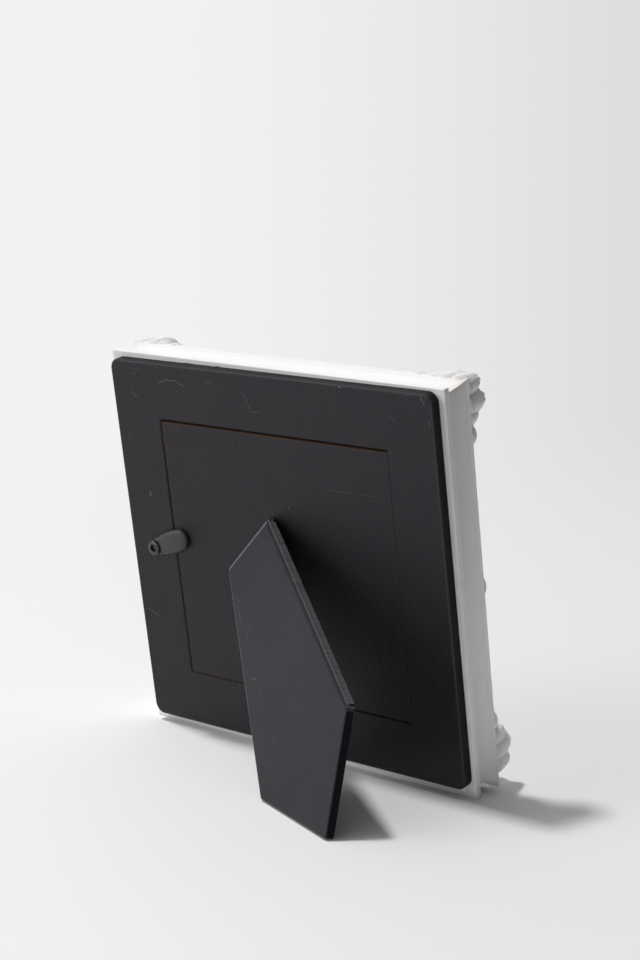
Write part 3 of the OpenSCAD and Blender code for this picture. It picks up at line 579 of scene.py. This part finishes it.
# The back board is sawn fibreboard in black paper with an embossed rib, its edges folded over and
# glued. It sits a little askew on the rails. Years of handling left scuffs and light scratches, and
# the paper is lifted in a few places along the top edge.
skew = radians(0.4)
board_x, board_z, board_w, board_h = -0.35, 76.15, 151.2, 144.6
core_y, cover_y, back_y = 0.3, 3.7, 4.0
crease_x, free_x, door_top, door_foot = -55.05, 52.75, 126.95, 25.15
rib_pitch = 1.2


def on_back(p):
    """Places points in millimetres of the back board in the standing frame, in metres."""
    p = np.asarray(p, float)
    x, z = p[..., 0], p[..., 2] - frame_h / 2
    across, up = x * cos(skew) + z * sin(skew), -x * sin(skew) + z * cos(skew) + frame_h / 2
    return stand(np.stack([across, p[..., 1], up], -1))


# A mark is a straight light line, lightest along its middle and gone at its width. Most marks are
# scratches; the one across the strut's heel is a painted highlight.
line_mark_group = bpy.data.node_groups.new("line_mark", "ShaderNodeTree")
for name, kind in (("Place", "Vector"), ("From", "Vector"), ("To", "Vector"), ("Width", "Float"),
                   ("Level", "Float")):
    line_mark_group.interface.new_socket(name=name, in_out="INPUT", socket_type="NodeSocket" + kind)
line_mark_group.interface.new_socket(name="Mark", in_out="OUTPUT", socket_type="NodeSocketFloat")
given = line_mark_group.nodes.new("NodeGroupInput").outputs
span = vector(line_mark_group, "SUBTRACT", given["To"], given["From"])
from_start = vector(line_mark_group, "SUBTRACT", given["Place"], given["From"])
reached = sum_of(line_mark_group, "DIVIDE", vector(line_mark_group, "DOT_PRODUCT", from_start, span),
                 vector(line_mark_group, "DOT_PRODUCT", span, span), clamp=True)
nearest = vector(line_mark_group, "SCALE", span, Scale=reached)
away = vector(line_mark_group, "LENGTH", vector(line_mark_group, "SUBTRACT", from_start, nearest))
faded = step_of(line_mark_group, away, given["Width"], 0.0, 0.0, given["Level"])
line_mark_group.links.new(faded, line_mark_group.nodes.new("NodeGroupOutput").inputs[0])


def black_paper(name, rib_angle, marks, base=0.0032, gloss=0.315, raw_edge=False):
    """Black embossed paper. It reads the attributes plan, a place in the piece's own plane in
    millimetres; a rubbed wear, which on the strut also carries a painted highlight; and a dulling,
    which takes sheen away and so paints shade on folded edges. It draws the marks as (from, to,
    width, level)."""
    made, tree, paper_look = new_finish(name)
    plan = shade(tree, "ShaderNodeAttribute", {"attribute_name": "plan"}).outputs["Vector"]
    rub_and_highlight, dull_and_shade = (shade(tree, "ShaderNodeAttribute", {"attribute_name": key}).outputs["Fac"]
                 for key in ("rub_and_highlight", "dull_and_shade"))
    turned = shade(tree, "ShaderNodeMapping", Vector=plan, Rotation=(0, 0, rib_angle)).outputs[0]
    bend = shade(tree, "ShaderNodeTexNoise", Vector=turned, Scale=0.35, Detail=2.0).outputs["Color"]
    bent = vector(tree, "MULTIPLY_ADD", bend, (0.9, 0.9, 0), i2=turned)
    cell = shade(tree, "ShaderNodeSeparateXYZ", Vector=bent).outputs
    wave = sum_of(tree, "SINE", times(tree, cell["X"], 2 * pi / rib_pitch))
    half_wave = sum_of(tree, "SINE", times(tree, cell["X"], pi / rib_pitch))
    along_rib = times(tree, cell["Y"], 2 * pi / (rib_pitch * 1.9))
    stagger = sum_of(tree, "MULTIPLY_ADD", half_wave, 1.6, along_rib)
    dash = sum_of(tree, "MULTIPLY_ADD", sum_of(tree, "SINE", stagger), 0.30, 0.70)
    mottle = noise(tree, plan, 0.045, 6.0, 0.62)
    rib = times(tree, times(tree, wave, dash), step_of(tree, mottle, 0.25, 0.6, 0.45, 1.0))
    height = sum_of(tree, "MULTIPLY_ADD", noise(tree, plan, 3.5, 6.0, 0.7), 2.4, times(tree, rib, 0.75))

    mark = 0.0
    for start, end, width, level in marks:
        one = shade(tree, "ShaderNodeGroup", {"node_tree": line_mark_group}, Place=plan, From=(*start, 0),
                    To=(*end, 0), Width=width, Level=level).outputs[0]
        mark = sum_of(tree, "MAXIMUM", mark, one)
    break_up = noise(tree, plan, 1.6, 5.0, 0.8)
    streaks = shade(tree, "ShaderNodeMapping", Vector=plan, Scale=(0.6, 0.13, 1), Rotation=(0, 0, 0.5))
    scuff = step_of(tree, noise(tree, streaks.outputs[0], 0.9, 8.0, 0.75), 0.66, 0.80)
    dust = shade(tree, "ShaderNodeTexVoronoi", {"feature": "F1"}, Vector=plan, Scale=0.16,
                 Randomness=1.0).outputs
    dust_grain = times(tree, step_of(tree, dust["Distance"], 0.030, 0.012),
                       step_of(tree, dust["Color"], 0.55, 0.8))
    light = sum_of(tree, "MAXIMUM", times(tree, scuff, 0.22), times(tree, dust_grain, 0.5))
    light = sum_of(tree, "MAXIMUM", light, times(tree, mark, step_of(tree, break_up, 0.34, 0.56, 0.25, 1.0)))
    wear_and_highlight = times(tree, rub_and_highlight, step_of(tree, break_up, 0.30, 0.62, 0.25, 1.0))
    light = sum_of(tree, "MAXIMUM", light, wear_and_highlight, clamp=True)
    dark_tone, light_tone = (base * 0.75, base * 0.62, base * 0.95), (base * 1.25, base * 1.0, base * 1.6)
    tone = two_tone(tree, sum_of(tree, "MULTIPLY_ADD", rib, 0.08, mottle), dark_tone, light_tone, 0.25, 0.75)
    colour = blended(tree, light, tone, (0.23, 0.225, 0.235, 1))
    rough = sum_of(tree, "MULTIPLY_ADD", light, 0.25, step_of(tree, mottle, 0.2, 0.8, 0.43, 0.54))
    if raw_edge:
        raw = shade(tree, "ShaderNodeAttribute", {"attribute_name": "raw"}).outputs["Fac"]
        torn = step_of(tree, sum_of(tree, "MULTIPLY_ADD", break_up, 0.5, raw), 0.62, 0.78)
        fibre = noise(tree, own_place(tree), 1400.0, 6.0, 0.8)
        fibre_tone = two_tone(tree, fibre, (0.022, 0.013, 0.008), (0.11, 0.062, 0.035), 0.3, 0.72)
        colour = blended(tree, torn, colour, fibre_tone)
        rough = sum_of(tree, "MULTIPLY_ADD", torn, 0.35, rough, clamp=True)
    # Dulled places get rougher and lose most of their specular tint, which paints shade on them.
    feed(tree, paper_look, Base_Color=colour, Specular_IOR_Level=gloss,
         Roughness=sum_of(tree, "MULTIPLY_ADD", dull_and_shade, 0.30, rough, clamp=True),
         Specular_Tint=blended(tree, times(tree, dull_and_shade, 0.90), (0.96, 0.90, 1.0, 1), (0, 0, 0, 1)),
         Normal=relief(tree, 0.8, 0.00005, height))
    return made


def round_loop(x0, x1, z0, z1, radii, side_steps=60, arc_steps=7):
    """A rectangle's outline from its low corner round, with a radius for each corner and as many
    points on every such outline, so that two of them can be joined ring to ring."""
    corners = [(x0, z0, 180), (x1, z0, 270), (x1, z1, 0), (x0, z1, 90)]
    arcs = []
    for (x, z, start), r in zip(corners, radii):
        centre = (x + (r if x == x0 else -r), z + (r if z == z0 else -r))
        arcs.append(np.array(arc(centre, r, start, start + 90, arc_steps)))
    out = []
    for i, bend in enumerate(arcs):
        first, end = bend[-1], arcs[(i + 1) % 4][0]
        shares = np.linspace(0, 1, side_steps + 1)[1:-1, None]
        out += [bend, first + (end - first) * shares]
    return np.concatenate(out)


def lofted(name, loops, ends="ring", place=on_back, layers=None, plan=None, material=None):
    """A skin through loops of points of equal number. Its ends are joined to each other, as on a
    ring, or each is closed with a fan to its middle. Layers are attributes, one number a point."""
    n = len(loops[0])
    points = np.concatenate(loops)
    faces = []
    for j in range(len(loops) - 1 + (ends == "ring")):
        a, b = j * n, ((j + 1) % len(loops)) * n
        faces += [(a + i, a + (i + 1) % n, b + (i + 1) % n, b + i) for i in range(n)]
    if ends == "fans":
        points = np.concatenate([points, [loops[0].mean(0)], [loops[-1].mean(0)]])
        top = (len(loops) - 1) * n
        faces += [((i + 1) % n, i, len(points) - 2) for i in range(n)]
        faces += [(top + i, top + (i + 1) % n, len(points) - 1) for i in range(n)]
    mesh = bpy.data.meshes.new(name)
    mesh.from_pydata([tuple(p) for p in place(points)], [], faces)
    turn_out(mesh)
    mine = points if plan is None else plan(points)
    flat = np.zeros((len(points), 3), np.float32)
    flat[:, 0], flat[:, 1] = mine[:, 0], mine[:, 2]
    mesh.attributes.new("plan", "FLOAT_VECTOR", "POINT").data.foreach_set("vector", flat.ravel())
    for key, make in (layers or {}).items():
        mark_points(mesh, key, make(points))
    mesh.shade_smooth()
    mesh.set_sharp_from_angle(angle=radians(50))
    mesh.materials.append(material)
    piece = bpy.data.objects.new(name, mesh)
    scene.collection.objects.link(piece)
    return piece


def level_loop(flat, y):
    return np.stack([flat[:, 0], np.full(len(flat), float(y)), flat[:, 1]], -1)


def board_edge(inset, y, r=4.0):
    x0, x1 = board_x - board_w / 2 + inset, board_x + board_w / 2 - inset
    z0, z1 = board_z - board_h / 2 + inset, board_z + board_h / 2 - inset
    return level_loop(round_loop(x0, x1, z0, z1, [r - inset] * 4), y)


def door_edge(x, grow, y, crease_r=0.12, free_r=1.5):
    radii = [crease_r, free_r + grow, free_r + grow, crease_r]
    return level_loop(round_loop(x, free_x + grow, door_foot - grow, door_top + grow, radii), y)


def ragged(p):
    """How far the folded paper stands off the board's top edge, where it is lifted or dented."""
    x = p[:, 0]
    lifted = 0.22 * hump(x, 70.0, 1.6) + 0.34 * hump(x, 38.6, 1.0) + 0.26 * hump(x, 23.6, 0.8)
    return lifted + 0.09 * np.sin(x * 0.9) * np.sin(x * 0.23 + 1) + 0.05 * np.sin(x * 2.7 + 0.6)


def from_board_edge(p):
    """How far in from the nearest edge of the board a point lies."""
    return np.minimum(board_w / 2 - np.abs(p[:, 0] - board_x), board_h / 2 - np.abs(p[:, 2] - board_z))


def board_rub(p):
    return 0.16 * hump(from_board_edge(p), 0.45, 0.25) * (p[:, 1] > 3.2)


def board_dull_and_shade(p):
    """The paper folded over the board's edges is made rougher and less glossy there, which darkens it as
    painted shade.
    """
    return 0.6 * (from_board_edge(p) < 1.2) * np.clip((3.85 - p[:, 1]) / 0.4, 0, 1)


board_marks = [
    ((51.0, 140.9), (47.2, 142.4), 0.34, 0.30), ((47.2, 142.4), (42.1, 142.5), 0.34, 0.34),
    ((42.1, 142.5), (38.3, 140.9), 0.34, 0.30), ((65.9, 136.4), (62.6, 134.0), 0.42, 0.26),
    ((64.8, 145.4), (60.0, 145.2), 0.26, 0.20), ((63.3, 143.9), (62.6, 143.3), 0.42, 0.30),
    ((72.9, 145.2), (72.2, 145.0), 0.45, 0.24), ((62.4, 97.0), (62.9, 95.6), 0.50, 0.55),
    ((8.0, 140.6), (6.0, 134.0), 0.34, 0.20), ((5.4, 134.4), (2.2, 134.7), 0.34, 0.16),
    ((9.0, 141.5), (8.6, 138.0), 0.30, 0.14), ((-65.0, 147.3), (-68.5, 147.6), 0.20, 0.20),
    ((-71.2, 147.5), (-72.6, 145.0), 0.50, 0.34), ((-74.0, 139.0), (-74.2, 137.6), 0.40, 0.22),
    ((72.4, 48.3), (67.3, 46.2), 0.36, 0.26), ((27.0, 143.6), (24.6, 143.0), 0.5, 0.14),
    ((-36.2, 147.6), (-37.0, 147.3), 0.45, 0.75), ((-57.0, 139.0), (-59.5, 138.1), 0.3, 0.14),
    ((70.0, 120.0), (69.6, 117.6), 0.35, 0.14), ((66.0, 72.0), (65.2, 69.4), 0.35, 0.16)
]
board_paper = black_paper("board_paper", 0.0, board_marks)
board_loops = [board_edge(0.3, core_y, 3.7)] + [board_edge(0.0, y) for y in (core_y, 0.9, 1.9, 2.8)]
board_loops += [board_edge(0.7 * (1 - cos(a)), 3.3 + 0.7 * sin(a)) for a in np.linspace(0, pi / 2, 7)]
outer_flat, inner_flat = board_edge(0.7, back_y), door_edge(crease_x, 0.18, back_y)
for t in (0.03, 0.08, 0.16, 0.27, 0.40, 0.53, 0.66, 0.78, 0.88, 0.95):
    board_loops.append(outer_flat * (1 - t) + inner_flat * t)
board_loops += [inner_flat, door_edge(crease_x, 0.05, 3.95), door_edge(crease_x, 0.0, 3.82),
                door_edge(crease_x, 0.0, cover_y), door_edge(crease_x, 0.35, 3.69),
                board_edge(1.1, 3.69, 3.7), board_edge(0.3, 3.3, 3.7)]
# The top edge is ragged where the paper has lifted, and the face is nowhere quite flat.
for loop in board_loops[1:13]:
    loop[:, 2] += ragged(loop) * np.clip((loop[:, 2] - board_z - board_h / 2 + 2.2) / 1.2, 0, 1)
for loop in board_loops[12:23]:
    loop[:, 1] += 0.02 * np.sin(loop[:, 0] * 0.11 + 1) * np.sin(loop[:, 2] * 0.09) - 0.02
piece = lofted("board_skin", board_loops, layers={"rub_and_highlight": board_rub, "dull_and_shade": board_dull_and_shade},
               material=board_paper)
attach(piece, "frame")
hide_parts("back_cover")

raw_board, tree, raw_look = new_finish("raw_fibreboard")
fibre = noise(tree, own_place(tree), 1100.0, 7.0, 0.8)
feed(tree, raw_look, Base_Color=two_tone(tree, fibre, (0.07, 0.042, 0.024), (0.26, 0.16, 0.09), 0.3, 0.72),
     Roughness=0.92, Normal=relief(tree, 0.6, 0.00012, fibre))
dress("back_board", raw_board)

lining, tree, lining_look = new_finish("grey_lining")
blotch = noise(tree, own_place(tree), 380.0, 6.0, 0.7)
lining_tone = two_tone(tree, blotch, (0.060, 0.060, 0.063), (0.095, 0.094, 0.097), 0.3, 0.7)
feed(tree, lining_look, Base_Color=lining_tone, Roughness=0.8, Normal=relief(tree, 0.25, 0.00004, blotch))
dress("back_lining", lining)

# The door is the middle of the same board, sawn free on three sides and left hanging on the paper
# along the fourth, where a score makes the crease. Its sawn edges are crushed and show raw brown.
door_marks = [
    ((-25.2, 109.0), (-36.0, 109.3), 0.22, 0.16), ((-36.0, 109.3), (-47.7, 109.3), 0.22, 0.12),
    ((-7.2, 99.9), (-6.8, 99.6), 0.45, 0.20), ((20.0, 118.0), (18.2, 116.9), 0.3, 0.12),
    ((34.0, 60.0), (33.4, 58.0), 0.35, 0.14)
]
door_paper = black_paper("door_paper", 0.0, door_marks, raw_edge=True)
door_loops = [door_edge(crease_x + 0.2, -1.0, y) for y in (core_y, 1.4, 2.6, 3.3)]
door_loops.append(door_edge(crease_x + 0.02, -1.02, 3.66))
for a in np.linspace(0.15, pi / 2, 7):
    crushed = 1 - cos(a)
    rounded = door_edge(crease_x + 0.03 + 0.2 * crushed, -1.02 - 0.42 * crushed, 3.62 + 0.36 * sin(a))
    door_loops.append(rounded)
face_rim = door_edge(crease_x + 0.25, -1.46, 3.98)
middle = np.array([(crease_x + free_x) / 2, 3.98, (door_top + door_foot) / 2])
for t in (0.012, 0.03, 0.08, 0.16, 0.28, 0.42, 0.56, 0.70, 0.83, 0.93):
    door_loops.append(face_rim * (1 - t) + middle * t)
# The saw's slit is narrower at the door's foot and free side, so the door reaches further there.
for loop in door_loops:
    loop[:, 2] -= 0.55 * np.clip((40 - loop[:, 2]) / 12, 0, 1)
    loop[:, 0] += 0.35 * np.clip((loop[:, 0] - 40) / 10, 0, 1)


def sawn(p):
    """Where the door's edge shows its raw core: below the paper, and where the saw tore it."""
    edge = np.minimum(free_x - 0.65 - p[:, 0], door_top - 1.0 - p[:, 2])
    return np.where(p[:, 1] < 3.5, 1.0, near(edge - 0.18, 0.16))


piece = lofted("door_board", door_loops, ends="fans", layers={"raw": sawn}, material=door_paper)
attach(piece, "door")
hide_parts("door_panel", "door_cover")
dress("door_lining", lining)

# The eyelet is a rolled tube of darkened brass that holds the turn button, with its head on the
# button and its clinched end on a washer inside the board.
pivot = np.array([62.15, 0.0, 75.3])
barrel_r, eyelet_bore_r = 1.7, 1.2


def at_pivot(p):
    """Places points given about the pivot: across, out of the board, and up."""
    return on_back(np.asarray(p, float) + pivot)


dark_brass, tree, brass_look = new_finish("dark_brass")
tarnish = noise(tree, own_place(tree), 700.0, 6.0, 0.7)
brass_tone = two_tone(tree, tarnish, (0.030, 0.029, 0.030), (0.115, 0.108, 0.102), 0.35, 0.72)
plan = shade(tree, "ShaderNodeAttribute", {"attribute_name": "plan"}).outputs["Vector"]
# The bore is painted near black, as painted shade inside the hole.
bore_shade = step_of(tree, vector(tree, "LENGTH", plan), 1.55, 1.25)
feed(tree, brass_look, Base_Color=blended(tree, bore_shade, brass_tone, (0.003, 0.003, 0.003, 1)),
     Metallic=0.75, Roughness=step_of(tree, tarnish, 0.3, 0.75, 0.32, 0.55),
     Normal=relief(tree, 0.3, 0.00005, tarnish))

eyelet_line = [(eyelet_bore_r, 0.45), (1.25, 0.37), (2.6, 0.37), (2.7, 0.5), (2.6, 0.72), (1.72, 0.75)]
eyelet_line += [(barrel_r, 1.0), (barrel_r, 3.0), (barrel_r, 5.5), (1.72, 5.95)]
eyelet_line += arc((2.4, 6.45), 0.44, 270, 405, 9) + arc((1.65, 6.45), 0.45, 82, 180, 9)
eyelet_line += [(eyelet_bore_r, 6.2), (eyelet_bore_r, 4.0), (eyelet_bore_r, 2.0)]
eyelet_loops = []
turns = np.linspace(0, 2 * pi, 72, endpoint=False)
for x, y in eyelet_line:
    crimp = 1 + (0.012 * np.sin(turns * 5 + 1) + 0.008 * np.sin(turns * 11)) * (y > 6.0) * (x > 2.2)
    across, up = x * crimp * np.cos(turns), x * crimp * np.sin(turns)
    eyelet_loops.append(np.stack([across, np.full_like(turns, y), up], -1))
piece = lofted("rolled_eyelet", eyelet_loops, place=at_pivot, material=dark_brass)
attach(piece, "frame")
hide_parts("button_eyelet")
dress("eyelet_washer", nail_steel)

# The turn button is a moulded black tongue that swings over the door's edge. It is crowned, a
# little dull, and thins to a low hub under the eyelet's head.
button_black, tree, button_look = new_finish("moulded_black")
place = own_place(tree)
bloom, nick = noise(tree, place, 240.0, 5.0, 0.65), noise(tree, place, 1500.0, 4.0, 0.7)
nicked = sum_of(tree, "MULTIPLY_ADD", step_of(tree, nick, 0.66, 0.74), 0.35, bloom)
button_tone = two_tone(tree, nicked, (0.016, 0.016, 0.017), (0.048, 0.047, 0.048), 0.3, 0.95)
feed(tree, button_look, Base_Color=button_tone, Roughness=step_of(tree, bloom, 0.25, 0.75, 0.42, 0.58),
     Normal=relief(tree, 0.35, 0.00005, nick))

tongue_turn = radians(180 + 20)
tongue_middle = 7.6
tongue_widths = ((0.0, 3.0), (3.0, 3.6), (6.2, 4.1), (9.0, 4.36), (11.6, 4.34), (13.9, 4.1))
tongue_levels = ((0.03, 4.1), (0.6, 4.1), (0.93, 4.1), (0.985, 4.18), (1.0, 4.5), (1.0, 5.0), (0.988, 5.5),
                 (0.955, 5.86), (0.90, 6.1), (0.83, 6.24), (0.74, 6.33), (0.63, 6.39), (0.50, 6.43),
                 (0.36, 6.46), (0.2, 6.48), (0.06, 6.49))
hub_top, crown_rise, hub_reach = 5.88, 0.62, 3.75


def tongue_reach(a):
    """The tongue's outline from its middle: circles of (place along it, radius), joined."""
    best = 0.0
    for s, r in tongue_widths:
        along_ray = (s - tongue_middle) * cos(a)
        square = r * r + along_ray ** 2 - (s - tongue_middle) ** 2
        if square > 0:
            best = max(best, along_ray + sqrt(square))
    return best


turns = np.linspace(0, 2 * pi, 128, endpoint=False)
outline = np.array([tongue_reach(a) for a in turns])
button_loops = []
for share, y in tongue_levels:
    s, w = tongue_middle + outline * share * np.cos(turns), outline * share * np.sin(turns)
    levels = np.full_like(turns, y)
    if y > 4.6:
        dished = hub_top + crown_rise / (1 + np.exp(-(np.hypot(s, w) - hub_reach) / 0.16))
        levels = np.minimum(levels, dished)
    c, q = cos(tongue_turn), sin(tongue_turn)
    button_loops.append(np.stack([s * c - w * q, levels, -s * q - w * c], -1))
piece = lofted("turn_tongue", button_loops, ends="fans", place=at_pivot, material=button_black)
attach(piece, "turn_button")
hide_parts("turn_button")

# The strut hinge is pressed steel in black enamel: two leaves riveted inside the door and the
# strut, with rolled knuckles on a plain pin. The enamel is chipped in places down to the steel.
enamel, tree, enamel_look = new_finish("black_enamel")
chip = noise(tree, own_place(tree), 900.0, 6.0, 0.75)
enamel_tone = two_tone(tree, chip, (0.012, 0.012, 0.013), (0.20, 0.20, 0.21), 0.62, 0.80)
feed(tree, enamel_look, Base_Color=enamel_tone, Metallic=step_of(tree, chip, 0.62, 0.8, 0.0, 0.8),
     Roughness=step_of(tree, chip, 0.3, 0.7, 0.28, 0.45))
dress("hinge_fixed_leaf", enamel)
dress("hinge_moving_leaf", enamel)
for node in ("hinge_pin", "door_rivets", "strut_rivets"):
    dress(node, nail_steel)

# The strut is a slip of the same board in the same paper, cut to a point at its foot. The paper is
# folded over its edges, which have gone grey where they rub. A light line along the heel by the hinge
# is a painted highlight, and a dark border inside the edges and the foot's edges are painted shade.
opened, tilt = radians(28.4), radians(45)
hinge_x, hinge_y, hinge_z = 10.3, 5.5, 84.7
strut_aside, strut_start, shoulder, strut_tip = 1.1, 0.2, 87.23, 120.28
strut_outline = [(strut_start, -17.1), (shoulder, -33.1), (strut_tip, -strut_aside), (shoulder, 30.9),
                 (strut_start, 14.9)]
heel_half, side_flare, tip_flare = 16.0, 0.18386, 0.9682


def on_strut(p):
    """Places points of the strut, down it, along the hinge and outward, in the standing frame."""
    p = np.asarray(p, float)
    t, s, n = p[..., 0], p[..., 1], p[..., 2]
    down, out = t * cos(opened) - n * sin(opened), t * sin(opened) + n * cos(opened)
    x = hinge_x - down * sin(tilt) - s * cos(tilt)
    z = hinge_z - down * cos(tilt) + s * sin(tilt)
    return on_back(np.stack([x, hinge_y + out, z], -1))


def strut_loop(inset, n, r=1.5, steps=8, parts=22):
    """The strut's outline drawn in by an inset, with round corners, at a level outward."""
    pts = np.array(strut_outline, float)
    bends = []
    for i in range(5):
        a = pts[i] - pts[i - 1]
        b = pts[(i + 1) % 5] - pts[i]
        na = np.array([-a[1], a[0]]) / np.linalg.norm(a)
        nb = np.array([-b[1], b[0]]) / np.linalg.norm(b)
        full = max(r, inset + 0.05)
        centre = pts[i] + full * (na + nb) / (1 + na @ nb)
        start, end = atan2(-na[1], -na[0]), atan2(-nb[1], -nb[0])
        if end < start - 1e-9:
            end += 2 * pi
        turns = np.linspace(start, end, steps)
        bends.append([centre + (full - inset) * np.array([cos(q), sin(q)]) for q in turns])
    flat = []
    for i, bend in enumerate(bends):
        a, b = bend[-1], bends[(i + 1) % 5][0]
        flat += bend + [a + (b - a) * t for t in np.linspace(0, 1, parts + 1)[1:-1]]
    flat = np.array(flat)
    return np.stack([flat[:, 0], flat[:, 1], np.full(len(flat), float(n))], -1)


def edge_gap(p):
    """How far in from the strut's sides a point lies."""
    t, s = p[:, 0], p[:, 1] + strut_aside
    flared, pointed = heel_half + (t - strut_start) * side_flare, np.maximum(strut_tip - t, 0) * tip_flare
    width = np.where(t < shoulder, flared, pointed)
    return np.minimum(width - np.abs(s), np.maximum(t - strut_start, 0) * 3)


def strut_rub_and_highlight(p):
    t, s, n = p[:, 0], p[:, 1], p[:, 2]
    gap, right_side = edge_gap(p), (t < 88.5) * (s > -strut_aside)
    left = 0.34 * hump(gap, 0.12, 0.26) * (n > 1.7) * (s < -strut_aside)
    arris = 0.62 * (gap < 0.35) * hump(n, 1.85, 0.3) * right_side
    band = (0.50 + 0.14 * (n < -0.3)) * (gap < 0.05) * (n > -0.8) * (n < 1.5) * right_side
    # A light band along the heel by the hinge is a painted highlight.
    heel_highlight = 0.40 * hump(t, 0.35, 0.5) * (n > 1.7) * (np.abs(s) < 14.3)
    return left + arris + band + heel_highlight


# The dark border just inside the strut's folded edge and the edges of its foot are made rough and nearly
# free of gloss: painted shade.
def strut_dull_and_shade(p):
    t, s, n = p[:, 0], p[:, 1], p[:, 2]
    gap, right_side = edge_gap(p), s > -strut_aside
    folded = 0.55 * (t < 87.0) * (gap > 0.5) * (gap < 2.0) * (n > 2.2)
    foot = 0.95 * (t >= 87.0) * (gap < 0.4) * (n < 2.2)
    return (folded + foot) * right_side


# The long mark across the heel, 0.75 down the strut, is a painted highlight along the hinge; the rest are
# scratches.
strut_marks_and_highlight = [
    ((16.2, -16.6), (25.2, -17.6), 0.3, 0.20), ((31.3, -16.9), (27.6, -12.4), 0.32, 0.22),
    ((46.4, -19.0), (47.6, -17.2), 0.5, 0.30), ((15.0, -15.6), (16.6, -14.9), 0.5, 0.22),
    ((74.1, -17.4), (71.8, -13.2), 0.32, 0.16), ((51.0, -16.8), (52.6, -15.9), 0.45, 0.22),
    ((0.75, -16.4), (0.75, 13.6), 1.0, 0.80), ((3.0, -17.4), (55.0, -26.9), 0.85, 0.75),
    ((55.0, -26.9), (86.6, -32.7), 0.8, 0.60)
]
strut_paper = black_paper("strut_paper", tilt, strut_marks_and_highlight, base=0.0062, gloss=0.275)
strut_loops = [strut_loop(9.0, -0.9, 9.2), strut_loop(4.0, -0.9, 4.2), strut_loop(0.9, -0.9),
               strut_loop(0.25, -0.86), strut_loop(0.0, -0.62)]
strut_loops += [strut_loop(0.0, n) for n in (-0.3, 0.0, 0.3, 0.6, 0.9, 1.2, 1.5)]
strut_loops += [strut_loop(0.85 * (1 - cos(a)), 1.85 + 0.65 * sin(a)) for a in np.linspace(0, pi / 2, 8)]
strut_loops += [strut_loop(i, 2.5, max(1.5, i + 0.3)) for i in (1.2, 2.4, 4.5, 7.5, 11.0)]
# The heel's edge is hollowed to go round the hinge's knuckles.
knuckle_clear = 1.3
for loop in strut_loops:
    in_knuckle = np.hypot(loop[:, 0], loop[:, 2]) < knuckle_clear
    loop[in_knuckle, 0] = np.sqrt(knuckle_clear ** 2 - loop[in_knuckle, 2] ** 2)
piece = lofted("strut_skin", strut_loops, ends="fans", place=on_strut, plan=lambda p: p[:, [0, 2, 1]],
               layers={"rub_and_highlight": strut_rub_and_highlight, "dull_and_shade": strut_dull_and_shade}, material=strut_paper)
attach(piece, "strut")
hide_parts("strut_cover", "strut_lining")
dress("strut_board", raw_board)
